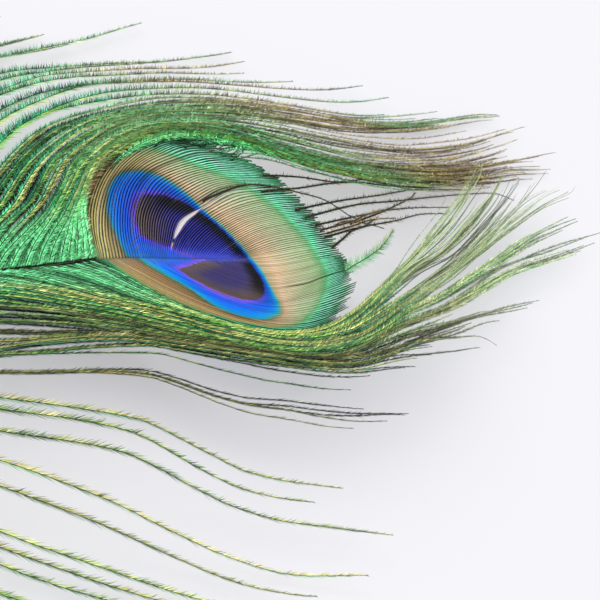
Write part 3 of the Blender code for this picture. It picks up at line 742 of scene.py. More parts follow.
def parted(side, root, run):
    """Roots moved aside along the split, which is on the left side."""
    if side < 0:
        return np.full_like(run, root)
    away = root - SPLIT_ROOT
    return root + math.copysign(1.0, away) * split_opening(run) * math.exp(-abs(away) / SPLIT_REACH)


print("one slit and", sum(len(cracks) for cracks in CRACKS.values()), "dark cracks")

# %% [markdown]
# Each barb of the eye is a low roof: a long strip, highest along its rib, whose edges meet those of
# its neighbours in a groove. The strip is as wide as the space between the routes half way to each
# neighbour, so the roofs close into one sheet without gaps. Near the rim each narrows to a point,
# which makes the toothed green edge.

# %% Barbs of the eye
EYE_BARBS = {1: 72, -1: 52}
EYE_ROOTS = {1: (-16.4, 8.85), -1: (-15.6, 8.85)}
# How far out along the barbs they are evenly spaced.
EVEN_RUN = 13.0
EYE_STEP = 0.42
LONGEST_EYE_BARB = 70.0
ACROSS = np.array([-1.0, -0.62, -0.25, 0.0, 0.25, 0.62, 1.0])
ROOF_HEIGHT = 0.2
ROOF_CURVE = 1.4
ROOF_UNEVEN = 0.06
# How far the teeth of the rim stand out, at chance, and how long and sharp they are.
TOOTH_REACH = (-0.3, 0.8)
TEETH_LENGTH = 3.2
TEETH_SHARPNESS = 0.9
# Along the first millimetres the halves are drawn together, a little past the shaft's middle.
JOIN_LENGTH = 3.0
JOIN_OVERLAP = 0.05
chance = np.random.default_rng(7)


def even_roots(side):
    """Roots whose barbs lie evenly spaced where they cross the middle of the eye."""
    fine = np.linspace(*EYE_ROOTS[side], 400)
    crossing = np.vstack([lane(GUIDES[side], root, np.array([EVEN_RUN])) for root in fine])
    place = distances(crossing)
    return np.interp(np.linspace(0.0, place[-1], EYE_BARBS[side]), place, fine)


def eye_strip(barbs, side, x, y, run, tone, crack):
    """Adds one roof of the eye, with the values that its colours are worked out from."""
    roof = ROOF_HEIGHT * (0.5 - np.abs(ACROSS) ** ROOF_CURVE) + ROOF_UNEVEN * (tone - 0.5)
    z = sheet_height(x, y) + roof * smooth_step(0.0, JOIN_LENGTH, run)[:, None]
    number, quill = ring_number(side, x, y)
    angle = ring_radii(side, x, y)[1]
    values = {
        "ring": number,
        "quill": quill,
        "violet": heart_violet(side, x, y, number, angle),
        "glow": heart_glow(side, x, y),
        "margin": heart_margin(side, x, y),
        "crack": crack,
        "across": ACROSS[None, :],
        "tone": tone,
        "along": run[:, None],
    }
    values = {name: np.broadcast_to(value, x.shape)[:, ::-side] for name, value in values.items()}
    barbs.sheet(np.dstack([x, y, z])[:, ::-side], values)


def eye_barb(barbs, side, root, half_root, tooth, tone):
    """One roofed strip from the shaft to the rim."""
    run = np.arange(0.0, LONGEST_EYE_BARB, EYE_STEP)
    middle = lane(GUIDES[side], root, run)
    within = inside_rim(side, middle[:, 0], middle[:, 1]) > -tooth
    last = int(np.argmin(within)) if not within.all() else len(run) - 1
    run = np.linspace(0.0, run[last], max(8, last))
    narrow = 1.0 - TEETH_SHARPNESS * smooth_step(TEETH_LENGTH, 0.0, run[-1] - run)
    roots = parted(side, root, run)[:, None] + half_root * ACROSS[None, :] * narrow[:, None]
    flat = np.stack([lane(GUIDES[side], column, run) for column in roots.T], axis=1)
    joined = smooth_step(JOIN_LENGTH, 0.0, run)[:, None]
    flat[..., 1] += (shaft_at(flat[0, :, 0])[:, 1] - side * JOIN_OVERLAP - flat[0, :, 1]) * joined
    eye_strip(barbs, side, flat[..., 0], flat[..., 1], run, tone, crack_shade_mask(side, roots, run))


def eye_half(name, side, material, node):
    barbs = Barbs(("ring", "quill", "violet", "glow", "margin", "crack", "across", "tone", "along"))
    roots = even_roots(side)
    for root, half_root in zip(roots, np.gradient(roots) / 2.0):
        eye_barb(barbs, side, root, half_root, chance.uniform(*TOOTH_REACH), chance.random())
    barbs.piece(name, material, "eye", node)


print("barbs in the eye", sum(EYE_BARBS.values()))

# %% [markdown]
# The eye's colours come from two ramps along the ring number, one for the tip's side and one for the
# quill's side, because the rings differ there: beige on one side, tan on the other. Each stop is a ring
# number and a colour as the screen shows it. A third ramp holds the dark colour of the grooves between the
# ribs, partly the dark barbules beneath and partly painted shade in the grooves, and grain that runs across
# the ribs stands for the single barbules.

# %% Finish of the eye
TIP_STOPS = (
    (0.99, (8, 6, 14)), (1.05, (0, 64, 170)), (1.5, (0, 104, 206)), (1.8, (16, 156, 206)),
    (1.97, (66, 180, 166)), (2.06, (190, 172, 132)), (2.25, (226, 198, 164)), (2.6, (198, 202, 164)),
    (2.88, (176, 200, 154)), (3.0, (120, 186, 128)), (3.14, (128, 230, 180)), (3.45, (158, 250, 212)),
    (3.7, (134, 230, 182)), (4.0, (96, 186, 130)), (4.4, (60, 130, 84)),
)
QUILL_STOPS = (
    (0.99, (96, 60, 170)), (1.04, (90, 66, 204)), (1.2, (26, 84, 208)), (1.6, (0, 96, 206)),
    (1.9, (0, 120, 200)), (1.98, (30, 134, 130)), (2.06, (112, 104, 64)), (2.3, (172, 154, 100)),
    (2.7, (192, 180, 114)), (2.95, (164, 160, 92)), (3.1, (120, 172, 110)), (3.5, (106, 206, 150)),
    (3.8, (60, 160, 108)), (4.4, (30, 120, 84)),
)
RIGHT_QUILL_STOPS = (
    (0.99, (124, 84, 178)), (1.05, (122, 88, 224)), (1.25, (40, 92, 226)), (1.6, (0, 112, 226)),
    (1.85, (0, 146, 218)), (1.97, (30, 160, 160)), (2.06, (84, 96, 62)), (2.3, (150, 118, 78)),
    (2.7, (178, 150, 102)), (2.95, (150, 140, 84)), (3.1, (70, 150, 90)), (3.5, (64, 196, 134)),
    (3.8, (40, 160, 104)), (4.4, (30, 130, 90)),
)
# Dark colours of the grooves between the ribs: partly the dark barbules beneath, partly painted shade in
# the grooves.
GROOVE_STOPS = (
    (0.9, (4, 3, 6)), (1.1, (6, 26, 92)), (1.9, (4, 44, 112)), (2.1, (50, 44, 22)),
    (2.9, (40, 60, 28)), (3.2, (10, 62, 40)), (4.0, (6, 30, 18)),
)
RING_RANGE = 5.0
TAUPE = (94, 80, 78)
GLOW_VIOLET = (56, 72, 210)
HEART_EDGE = (10, 8, 14)
# The painted shade in a crack between barbs.
CRACK_SHADE_COLOUR = (24, 26, 16)


def ring_ramp(place, stops):
    """The colour at this ring number."""
    return (place * (1.0 / RING_RANGE)).ramp([(at / RING_RANGE, shade) for at, shade in stops])


def eye_finish(name, quill_stops, heart_groove, groove_depth, violet_heart):
    """The rings, the heart, the grooves between the ribs, and the grain, in that order."""
    material, wire, finish = new_material(name)
    ring, quill, violet = wire.value("ring"), wire.value("quill"), wire.value("violet")
    across, along, tone = abs(wire.value("across")), wire.value("along"), wire.value("tone")
    wander = wire.grain(along, tone * 40.0, 0.9)
    place = ring + (wander - 0.5) * 0.1 + (tone - 0.5) * 0.05
    colour = quill.step(0.25, 0.7).mix(ring_ramp(place, TIP_STOPS), ring_ramp(place, quill_stops))
    heart = violet.mix(TAUPE, violet_heart)
    heart = (wire.value("glow") * 0.9).mix(heart, GLOW_VIOLET)
    heart = wire.value("margin").mix(heart, HEART_EDGE)
    colour = place.step(1.0, 0.98).mix(colour, heart)
    # Grooves are deepest in the blue and the heart, and fade on the tip's side of the beige ring.
    depth = place.step(0.95, 1.1) * (groove_depth - heart_groove) + heart_groove
    depth = depth * (1.0 - wire.value("glow") * 0.75)
    depth = depth + (1.0 - depth) * place.step(3.0, 3.2)
    faded = 1.0 - quill.step(0.4, 0.0) * place.step(1.9, 2.3) * place.step(3.3, 3.0) * 0.3
    width = 0.45 - place.step(1.05, 0.9) * heart_groove * 0.25 - place.step(3.0, 3.5) * 0.3
    width = width - place.step(1.95, 2.1) * quill * 0.12
    # The grooves are painted dark: partly the dark barbules beneath, partly painted shade between the ribs.
    groove = (across + (wander - 0.5) * 0.5 - width).step(0.0, 0.4) * depth * faded
    groove = groove * (0.75 + tone * 0.5)
    colour = groove.mix(colour, ring_ramp(place, GROOVE_STOPS))
    # The cracks are painted dark: painted shade of the gap between the barbs.
    colour = (wire.value("crack") * 0.9).mix(colour, CRACK_SHADE_COLOUR)
    # Barbules make each rib lighter and darker by turns, most of all in the beige ring.
    barbule = wire.grain(along + across * 0.3, tone * 60.0 + wire.value("across"), 7.0)
    speckle = place.step(1.95, 2.1) * place.step(3.05, 2.9) * (0.25 + quill * 1.1)
    barbule = barbule + (wire.grain(along, tone * 300.0 + across * 1.5, 3.0) - 0.55) * speckle
    # The crest of each rib is painted lighter than its sides: a painted highlight along the rib.
    light = (0.62 + barbule * 0.76) * (0.86 + tone * 0.28) * (1.26 - across * 0.42)
    light = light * (1.0 - along.step(0.45, 0.1) * 0.4)
    finish(
        Base_Color=light.shaded(colour),
        Roughness=0.36 + barbule * 0.2,
        Metallic=0.35,
        Specular_IOR_Level=0.2,
    )
    return material


left_finish = eye_finish("eye_left", QUILL_STOPS, 0.95, 0.92, (44, 42, 146))
right_finish = eye_finish("eye_right", RIGHT_QUILL_STOPS, 0.1, 0.35, (62, 56, 106))
eye_half("eye_vane_left", 1, left_finish, "eye_left")
eye_half("eye_vane_right", -1, right_finish, "eye_right")

# %% [markdown]
# ## The bare rib
#
# One barb of the eye has lost its barbules for a third of its length. The sheet is parted there, and
# the pale rib shows in the slit, dark at one point of its foot. By hand it would be a thin cylinder
# laid flat, whose rings are moved along the slit and sized to it. The rings are worked out here,
# because the slit is a sum too and both have to follow the same lane.

# %% Bare rib
RIB_RUN = (1.6, 12.4)
RIB_RINGS = 19
RIB_SIDES = 8
RIB_SUNK = 0.1
RIB_LEAST = 0.06
# Half the rib's width as a share of the slit's, and its height as a share of its width.
RIB_SHARE = 0.62
RIB_FLATNESS = 0.4


def bare_rib():
    """The rib of the barb that has lost its barbules, as wide as the slit it lies in."""
    run = np.linspace(*RIB_RUN, RIB_RINGS)
    flat = lane(GUIDES[1], np.full_like(run, SPLIT_ROOT), run)
    middle = np.column_stack([flat, sheet_height(flat[:, 0], flat[:, 1]) - RIB_SUNK])
    _, left, up = side_and_up(middle)
    half = RIB_LEAST + RIB_SHARE * split_opening(run)
    turn = np.linspace(0.0, 2.0 * math.pi, RIB_SIDES + 1)[None, :, None]
    round_rib = middle[:, None, :] + half[:, None, None] * (
        left[:, None, :] * np.cos(turn) + RIB_FLATNESS * up[:, None, :] * np.sin(turn)
    )
    barbs = Barbs(("along",))
    barbs.sheet(round_rib, {"along": run[:, None]})
    material, wire, finish = new_material("bare_rib_horn")
    along = wire.value("along")
    speckle = wire.grain(along, along * 0.0, 5.0)
    colour = (along * (1.0 / SPLIT_RUN[-1])).ramp([
        (0.07, (206, 178, 150)), (0.078, (14, 12, 16)), (0.092, (14, 12, 16)),
        (0.1, (222, 210, 216)),
    ])
    finish(Base_Color=(0.85 + speckle * 0.3).shaded(colour), Roughness=0.5)
    barbs.piece("bare_rib", material, "eye")


bare_rib()

# %% [markdown]
# ## Loose barbs
#
# Outside the eye the barbs don't hold together. Each is a thin rib with a row of barbules on either
# side, which lean towards the tip and stand up from the rib in a shallow V. A barbule is a single
# narrow triangle: at this size nothing more of it would show, and there are many thousands. Towards
# the tip the barbules lie closer along the rib, so that the barb ends in a smooth blade.

# %% A barb with its barbules
# The rib's half width, the spacing of the barbules, the length of a barbule's foot on the rib, and
# how far its angles stray in radians. Then the barbules' length and their lean in degrees, each as
# shares of the way along the barb and the values there, and the rise in degrees of the outer and
# the inner row.
Kind = namedtuple("Kind", "rib pitch foot stray reach lean rise")
RIB_TAPER = 0.7
BARE_TIP = 0.2
BARBULE_SIZES = (0.8, 1.12)
BARBULE_EDGE = np.array([[0.0, 0.15, 1.0]])
LOOSE_VALUES = ("tone", "warm", "pale", "along", "row", "edge", "shade")


def at_stations(values, place):
    """Rows of values read at places between them."""
    k = np.minimum(place.astype(int), len(values) - 2)
    f = (place - k)[:, None]
    return values[k] * (1.0 - f) + values[k + 1] * f


def loose_barb(barbs, side, points, kind, tone, shade=0.0, warm=0.0, pale=0.0, spread=1.0):
    """A rib with its two rows of barbules. Shade, warm, pale and spread may change along it."""
    heading, left, up = side_and_up(points)
    run = distances(points)
    along_rib = {"shade": shade, "warm": warm, "pale": pale, "along": run}
    along_rib = {name: np.broadcast_to(value, run.shape) for name, value in along_rib.items()}
    half = kind.rib * (1.0 - RIB_TAPER * run / run[-1])[:, None]
    rib = np.stack([points - left * half, points + up * half, points + left * half], axis=1)
    values = {name: value[:, None] for name, value in along_rib.items()}
    barbs.sheet(rib[:, ::-1], {**values, "tone": tone, "row": 0.0, "edge": 0.0})
    stations = np.arange(kind.pitch, run[-1] - BARE_TIP, kind.pitch)
    stations = stations + chance.uniform(-0.3, 0.3, len(stations)) * kind.pitch
    place = np.interp(stations, run, np.arange(len(run)))
    foot, ahead, aside, above = (at_stations(v, place) for v in (points, heading, left, up))
    values = {name: np.interp(stations, run, value)[:, None] for name, value in along_rib.items()}
    fraction = stations / run[-1]
    size = np.interp(fraction, *kind.reach) * chance.uniform(*BARBULE_SIZES, len(stations))
    size = size * np.interp(stations, run, np.broadcast_to(spread, run.shape))
    for row in (1, -1):
        tilt = math.radians(kind.rise[0] if row * side > 0 else kind.rise[1])
        tilt = (tilt + chance.normal(0.0, kind.stray, len(stations)))[:, None]
        lean = np.radians(np.interp(fraction, *kind.lean))
        lean = (lean + chance.normal(0.0, kind.stray, len(stations)))[:, None]
        out = row * aside * np.cos(tilt) + above * np.sin(tilt)
        tip = foot + size[:, None] * (ahead * np.cos(lean) + out * np.sin(lean))
        own = {"tone": tone, "row": float(row * side), "edge": BARBULE_EDGE}
        barbs.blades(foot, foot + ahead * kind.foot, tip, row, {**values, **own})


# %% [markdown]
# A loose barb doesn't quite keep to its lane. It is drawn towards its neighbours, wanders a little
# aside, splays at its end and lies at a height of its own. The right side's barbs pass over the rim
# of the eye, so they are lifted there.

# %% The route of a loose barb
# The distance between the points of a rib.
RIB_STEP = 0.8
# Where a loose barb wanders aside: how far, over what length, and from what share on it splays.
WOBBLE = (0.14, 9.0)
SPLAY_FROM = 0.35
# A barb rises to its own height over the sheet in this length, and starts on top of the shaft.
HEIGHT_BY = 4.0
ON_SHAFT_UNTIL = 3.0
ON_SHAFT = 0.8
LIFT_OVER_RIM = 0.9
LIFT_OVER_TIPS = 0.3
# Thickness of the shaft as drawn, as a share of the solid's.
SHAFT_FINENESS = ((-90.0, -55.0, -30.0, -14.0, 0.0, 9.0), (1.0, 0.87, 0.7, 0.5, 0.4, 0.35))


def lift_of_right(x):
    """The right side's barbs lie over the rim, and their tips lie over those of the left."""
    over_rim = LIFT_OVER_RIM * smooth_step(-20.0, -8.0, x)
    return over_rim + LIFT_OVER_TIPS * smooth_step(25.0, 60.0, x)


def drawn_radius(x):
    """Radius of the shaft as drawn: finer than the solid's towards the eye."""
    return shaft_at(x)[3] * np.interp(x, *SHAFT_FINENESS)


def wobble(run, size, wavelength):
    """A slow wave of chance phase, nothing at the root."""
    phase = chance.uniform(0.0, 2.0 * math.pi, 2)
    wave = np.sin(run / wavelength + phase[0]) + 0.6 * np.sin(run / (0.43 * wavelength) + phase[1])
    return size * smooth_step(0.0, 20.0, run) * wave


def leftward(flat):
    """The left-hand normal at each point of a flat path."""
    tangent = unit(np.gradient(flat, axis=0))
    return np.column_stack([-tangent[:, 1], tangent[:, 0]])


def barb_points(side, root, pulls, splay, height, shorten, lifted=False, inside=None):
    """The route of one loose barb in the air.

    Each pull draws it towards another root, by a share, between two distances along it. Where
    inside is given, the barb only starts that far within the rim of the eye.
    """
    length = shorten * barb_length(GUIDES[side], root)
    run = np.arange(0.0, length, RIB_STEP)
    roots = np.full_like(run, root)
    for target, share, low, high in pulls:
        roots = roots + (target - roots) * share * smooth_step(low, high, run)
    flat = lane(GUIDES[side], roots, run)
    aside = wobble(run, *WOBBLE) + splay * smooth_step(SPLAY_FROM * length, length, run)
    flat = flat + leftward(flat) * aside[:, None]
    first = 0
    if inside is not None:
        within = inside_rim(side, flat[:, 0], flat[:, 1]) > inside
        first = len(within) - int(np.argmax(within[::-1])) if within.any() else 0
    flat = flat[first:]
    z = sheet_height(flat[:, 0], flat[:, 1]) + height * smooth_step(0.0, HEIGHT_BY, run[first:])
    z = z + ON_SHAFT * drawn_radius(root) * smooth_step(ON_SHAFT_UNTIL, 0.0, run[first:])
    if lifted:
        z = z + lift_of_right(flat[:, 0])
    return np.column_stack([flat, z])


# %% [markdown]
# The barbs aren't green all along. On the left they carry on the tan ring of the eye and turn bronze
# past it, and on the right the outer ones are browner. So every point of a barb has a warmth, by
# which the material mixes green and brown.

# %% Green and bronze
# On the left: where barbs carry on the eye's tan ring, where the stream turns bronze, its outer side
# first, and which of its tips are green again.
TAN_RING = (3.7, 3.2)
TAN_BEFORE = (-2.0, -6.0)
BRONZE_FROM = (-15.0, 20.0)
BRONZE_ACROSS = (5.0, 60.0)
BRONZE_MIDDLE = 20.0
BRONZE_LEAN = 4.0
GREEN_AGAIN = (46.0, 64.0)
GREEN_AGAIN_ROOTS = (-34.0, -42.0)
# On the right: the outer barbs, and those that lie farthest aside past the eye.
OUTER_ROOTS = (-36.0, -60.0)
OUTER_ASIDE = (-4.0, -13.0)
FAR_FROM = (-5.0, 30.0)
FAR_ASIDE = (-10.0, -20.0)


def warmth(side, root, x, y):
    """0 where a barb is green, 1 where it has turned bronze and brown."""
    if side > 0:
        tan_ring = smooth_step(*TAN_RING, ring_number(1, x, y)[0]) * smooth_step(*TAN_BEFORE, x)
        across = x + BRONZE_LEAN * (y - BRONZE_MIDDLE)
        bronze = smooth_step(*BRONZE_ACROSS, across) * smooth_step(*BRONZE_FROM, x)
        green_again = 0.9 * smooth_step(*GREEN_AGAIN, x) * smooth_step(*GREEN_AGAIN_ROOTS, root)
        return np.maximum(tan_ring, bronze * (1.0 - green_again))
    outer = smooth_step(*OUTER_ROOTS, root) * smooth_step(*OUTER_ASIDE, y)
    return np.maximum(0.6 * outer, 0.35 * smooth_step(*FAR_FROM, x) * smooth_step(*FAR_ASIDE, y))


# %% [markdown]
# Barbs lie in bundles. The top one of each bundle catches the light, and the ones beneath it are
# nearly black, so what one sees from a distance is a row of bright threads with dark between.
# Without this the many overlapping barbs melt into one flat green. Past the eye the bundles draw
# together in turn, which leaves gaps where the table shows.

# %% Bundles
# Width of a bundle at each root, and its barbs: share of the width, and how deep each lies.
BUNDLE_WIDTH = {
    1: ((-46.0, -36.0, -25.0, -15.0, -8.0), (2.5, 2.1, 1.9, 1.0, 0.8)),
    -1: ((-80.0, -60.0, -40.0, -25.0, -15.0), (3.4, 3.0, 2.3, 1.5, 1.1)),
}
BUNDLE = ((0.0, 0.0), (0.18, 0.3), (0.44, 1.0), (0.63, 1.0), (0.82, 1.0))
BUNDLE_DRAWN_TO = 0.1
BUNDLE_RISE = 0.55
# A barb is drawn into its bundle by a chance share, between these distances along it.
BUNDLE_PULL = (0.2, 0.8)
BUNDLE_PULL_RUN = (6.0, 45.0)
# Roots that the bundles themselves draw together to, farther out.
GATHERED = {
    1: (-45.0, -40.0, -35.5, -31.5, -27.0, -22.5, -18.0, -15.4),
    -1: (-74.0, -69.0, -61.5, -55.0, -49.0, -43.0, -35.5, -25.2, -16.5),
}
# Where along the feather they draw together, over what length and by what share. A barb runs a
# little farther than it gets along the feather.
GATHER_FROM = {1: 12.0, -1: 6.0}
RUN_PER_X = 1.1
GATHER_LENGTH = {1: 50.0, -1: 32.0}
GATHER_SHARE = {1: (0.3, 0.95), -1: (0.6, 1.0)}


def bundled_roots(side, low, high):
    """Root, root of the bundle, and depth in it: 0 on top, 1 underneath."""
    while low < high:
        width = np.interp(low, *BUNDLE_WIDTH[side]) * chance.uniform(0.8, 1.2)
        for share, depth in BUNDLE:
            yield low + share * width, low + BUNDLE_DRAWN_TO * width, depth
        low += width


def chance_of(bundle):
    """0 to 1, a number of the bundle's own that takes no draw."""
    return (12.99 * bundle) % 1.0


def sweep_pulls(side, root, bundle):
    """Draws a barb into its bundle, and farther out to the line where bundles gather."""
    gathered = np.array(GATHERED[side])
    far = gathered[np.argmin(np.abs(gathered - bundle - chance.normal(0.0, 0.6)))]
    start = RUN_PER_X * (GATHER_FROM[side] - root)
    near = (bundle, chance.uniform(*BUNDLE_PULL), *BUNDLE_PULL_RUN)
    return (near, (far, chance.uniform(*GATHER_SHARE[side]), start, start + GATHER_LENGTH[side]))


# %% [markdown]
# The bundles sweep round the eye. On the left they are brightest near the shaft, and pale where they
# pass beside the eye. On the right the outer barbs lie in shade, and the inner ones fold their
# barbules flat past the eye and end as a fan of fine pale lines.

# %% Sweeping barbs
SWEEP_KIND = {
    1: Kind(
        rib=0.07, pitch=0.14, foot=0.22, stray=0.14,
        reach=((0.0, 0.3, 0.5, 0.9, 1.0), (0.72, 0.85, 1.1, 1.1, 0.4)),
        lean=((0.0, 0.3, 0.55, 1.0), (32.0, 28.0, 18.0, 12.0)),
        rise=(12.0, 30.0),
    ),
    -1: Kind(
        rib=0.07, pitch=0.15, foot=0.26, stray=0.07,
        reach=((0.0, 0.2, 0.5, 0.9, 1.0), (1.05, 1.1, 1.25, 1.15, 0.4)),
        lean=((0.0, 0.3, 0.55, 1.0), (20.0, 16.0, 12.0, 10.0)),
        rise=(8.0, 16.0),
    ),
}
# How far the barbs splay, and their chance lengths as shares of the lane's.
SPLAY = {1: 0.7, -1: 0.6}
SWEEP_LENGTHS = (0.84, 1.02)
# Whole bundles turned away from the light are darker by up to this share.
DIMMEST = {1: 0.45, -1: 0.75}
# Less of the dark shows farther out along the feather.
CLEARER_FROM = (10.0, 40.0)
# The left side's barbs are brightest near the shaft, and pale where they pass beside the eye.
BRIGHT_UNTIL = (16.0, 6.0)
PALE_BESIDE_EYE = (-22.0, 2.0)
# The right side's barbs pale past the eye, its inner ones fold, and its outer ones lie in shade.
PALE_PAST_EYE = (16.0, 36.0)
FOLDED_ROOTS = (-47.0, -43.0)
FOLDED_SPREAD = 0.36
SHADED_ROOTS = (-34.0, -56.0)
# The outermost barbs of the right side are cut shorter by this share.
SHORT_ROOT = -58.0
SHORTER = 0.06


def left_sweep_look(points, shade, warm):
    """Shade, warmth, paleness and spread along a barb of the left side."""
    beside_eye = smooth_step(*PALE_BESIDE_EYE, points[:, 0])
    near_shaft = smooth_step(*BRIGHT_UNTIL, distances(points))
    shade = shade * (1.0 - 0.3 * beside_eye) * (1.0 - 0.45 * near_shaft)
    return shade, warm, 0.45 * beside_eye, 1.0


def right_sweep_look(points, root, bundle, shade, warm):
    """Shade, warmth, paleness and spread along a barb of the right side."""
    pale = smooth_step(*PALE_PAST_EYE, points[:, 0])
    folded = pale * smooth_step(*FOLDED_ROOTS, root)
    shaded = smooth_step(*SHADED_ROOTS, root) * (1.0 - 0.5 * pale) * chance.uniform(0.1, 0.5)
    dark_line = folded * (chance.random() > 0.6) * 0.85
    shade = np.maximum(shade * (1.0 - 0.35 * folded), np.maximum(shaded, dark_line))
    # Some bundles are browner than others.
    warm = warm * (0.4 + 0.9 * math.sin(bundle * 2.4) ** 2)
    return shade, warm, pale, 1.0 - (1.0 - FOLDED_SPREAD) * folded


def sweep_barbs(name, side, low, high, material, node):
    """The close barbs that run round the eye and past its tip."""
    barbs = Barbs(LOOSE_VALUES)
    for root, bundle, depth in bundled_roots(side, low, high):
        pulls = sweep_pulls(side, root, bundle)
        height = BUNDLE_RISE * (1.0 - depth) + chance.uniform(0.0, 0.15)
        splay = chance.normal(0.0, SPLAY[side])
        shorten = chance.uniform(*SWEEP_LENGTHS)
        if side < 0 and root < SHORT_ROOT:
            shorten -= SHORTER
        points = barb_points(side, root, pulls, splay, height, shorten, side < 0)
        dim = DIMMEST[side] * chance_of(bundle)
        shade = np.maximum(depth, dim) * (1.0 - 0.3 * smooth_step(*CLEARER_FROM, points[:, 0]))
        warm = warmth(side, root, points[:, 0], points[:, 1])
        if side > 0:
            look = left_sweep_look(points, shade, warm)
        else:
            look = right_sweep_look(points, root, bundle, shade, warm)
        loose_barb(barbs, side, points, SWEEP_KIND[side], chance.random(), *look)
    barbs.piece(name, material, "barbs", node)


# %% [markdown]
# Down the stem the barbs stand well apart, and each shows its barbules like the teeth of a comb.
# They are laid one by one from the eye back to the down, a little unevenly, and none in bundles.

# %% Barbs of the stem
STEM_KIND = {
    1: Kind(
        rib=0.08, pitch=0.15, foot=0.22, stray=0.14,
        reach=((0.0, 0.6, 0.9, 1.0), (1.6, 1.5, 1.1, 0.5)),
        lean=((0.0, 0.6, 1.0), (40.0, 36.0, 20.0)),
        rise=(8.0, 30.0),
    ),
    -1: Kind(
        rib=0.08, pitch=0.15, foot=0.24, stray=0.1,
        reach=((0.0, 0.6, 0.9, 1.0), (1.7, 1.8, 1.2, 0.5)),
        lean=((0.0, 0.5, 1.0), (30.0, 22.0, 16.0)),
        rise=(8.0, 16.0),
    ),
}
# The spacing of the stem's barbs at each root.
STEM_SPACING = ((-168.0, -100.0, -60.0), (2.4, 2.0, 1.5))
# How far they stray to a neighbour's lane, by what share, and between which distances.
STEM_STRAY = 1.2
STEM_PULL = (0.5, 12.0, 60.0)
STEM_SPLAY = 1.5
STEM_HEIGHTS = (0.0, 0.7)
STEM_LENGTHS = (0.86, 1.03)


def stem_barbs(name, side, low, high, material, node):
    """The loose barbs of the stem, from the eye back to the down."""
    barbs = Barbs(LOOSE_VALUES)
    root = high
    while root > low:
        pull = (root + chance.normal(0.0, STEM_STRAY), *STEM_PULL)
        points = barb_points(
            side, root, (pull,), chance.normal(0.0, STEM_SPLAY), chance.uniform(*STEM_HEIGHTS),
            chance.uniform(*STEM_LENGTHS), side < 0,
        )
        warm = chance.uniform(0.3, 1.0) * warmth(side, root, points[:, 0], points[:, 1])
        tone, shade = chance.random(), chance.uniform(0.0, 0.45)
        loose_barb(barbs, side, points, STEM_KIND[side], tone, shade, warm)
        root -= np.interp(root, *STEM_SPACING) * chance.uniform(0.85, 1.15)
    barbs.piece(name, material, "barbs", node)


# %% [markdown]
# The two rows of a barb mirror the light differently, so one row looks yellow-green where the other
# is teal. That, with a little noise along each barb, is most of what makes a feather glitter.
# Farther out the green turns bronze, and past the eye on the right it pales.

# %% Finish of the loose barbs
MINT = (136, 255, 172)
BLADE_TEAL = (56, 196, 140)
RUST = (156, 106, 78)
DARK_RIB = (20, 36, 22)
PALE_RIB = (206, 214, 150)


def loose_finish(name):
    """The two rows' greens, brown, and light green, mixed by the values that each barb carries."""
    material, wire, finish = new_material(name)
    tone, warm, pale, along = (wire.value(key) for key in ("tone", "warm", "pale", "along"))
    row, edge, shade = (wire.value(key) for key in ("row", "edge", "shade"))
    patches = wire.grain(along * 0.22, tone * 90.0, 1.0, 3.0)
    speckle = wire.grain(along * 4.0, tone * 700.0 + row * 3.0, 1.0)
    lime = (patches + (tone - 0.5) * 0.4 + (speckle - 0.5) * 0.4).ramp([
        (0.2, (10, 104, 52)), (0.35, (92, 198, 90)), (0.5, (176, 226, 112)),
        (0.65, (238, 242, 140)),
    ])
    teal = (patches + (tone - 0.5) * 0.3 + (speckle - 0.5) * 0.3).ramp([
        (0.25, (0, 48, 32)), (0.45, (0, 132, 88)), (0.7, (84, 226, 164)),
    ])
    teal = (edge.step(0.3, 1.0) * 0.7).mix(teal, BLADE_TEAL)
    brown = (patches + (speckle - 0.5) * 0.7).ramp([
        (0.25, (58, 44, 30)), (0.42, (128, 106, 68)), (0.58, (176, 156, 98)),
        (0.75, (224, 206, 134)),
    ])
    brown = (tone.step(0.55, 0.9) * 0.45).mix(brown, RUST)
    light_green = (patches + (speckle - 0.5) * 0.5).ramp([
        (0.2, (40, 104, 46)), (0.42, (142, 196, 106)), (0.62, (240, 244, 190)),
    ])
    fresh = along.step(5.0, 18.0).mix(MINT, row.step(-0.2, 0.4).mix(lime, teal))
    fresh = (pale * row.step(0.5, -0.5) * 0.6 + pale * 0.4).mix(fresh, light_green)
    colour = warm.mix(fresh, brown)
    rib = (pale * 0.9).mix(DARK_RIB, PALE_RIB)
    colour = abs(row).step(0.0, 0.5).mix(rib, colour)
    glint = 0.12 + speckle.step(0.28, 0.72) * 2.3
    light = (1.0 - shade * 0.95) * glint * (1.0 - edge * 0.15)
    finish(
        Base_Color=light.shaded(colour),
        Roughness=0.45,
        Metallic=0.25,
        Specular_IOR_Level=0.12,
    )
    return material


green_barbs = loose_finish("barb_green")
print(green_barbs.name, "has", len(green_barbs.node_tree.nodes), "nodes")

# %% [markdown]
# Close to the shaft the barbules are so crowded that no table shows between them, so a narrow dark strip of
# painted shade is laid under their feet. Then the loose barbs are made, one piece for the sweep of a side
# and one for its stem. The right side's sweep is made in two pieces, so that no mesh grows too large.

# %% Painted shade strip, sweep and stem
SHADE_STRIP_REACH = (-160.0, -15.2)
SHADE_STRIP_STEPS = 120
SHADE_STRIP_WIDTH = 1.7
SHADE_STRIP_SUNK = 0.2


def painted_shade_strip(name, side, material, node):
    """A narrow strip of painted shade under the feet of the barbs, so that no light shows between them."""
    x = np.linspace(*SHADE_STRIP_REACH, SHADE_STRIP_STEPS)[:, None]
    y = shaft_at(x[:, 0])[:, 1:2] + side * np.array([[0.0, 0.5, 1.0]]) * SHADE_STRIP_WIDTH
    x = np.broadcast_to(x, y.shape)
    barbs = Barbs(LOOSE_VALUES)
    values = dict.fromkeys(LOOSE_VALUES, 0.0)
    barbs.sheet(np.dstack([x, y, sheet_height(x, y) - SHADE_STRIP_SUNK])[:, ::-side], values)
    barbs.piece(name, material, "barbs", node)


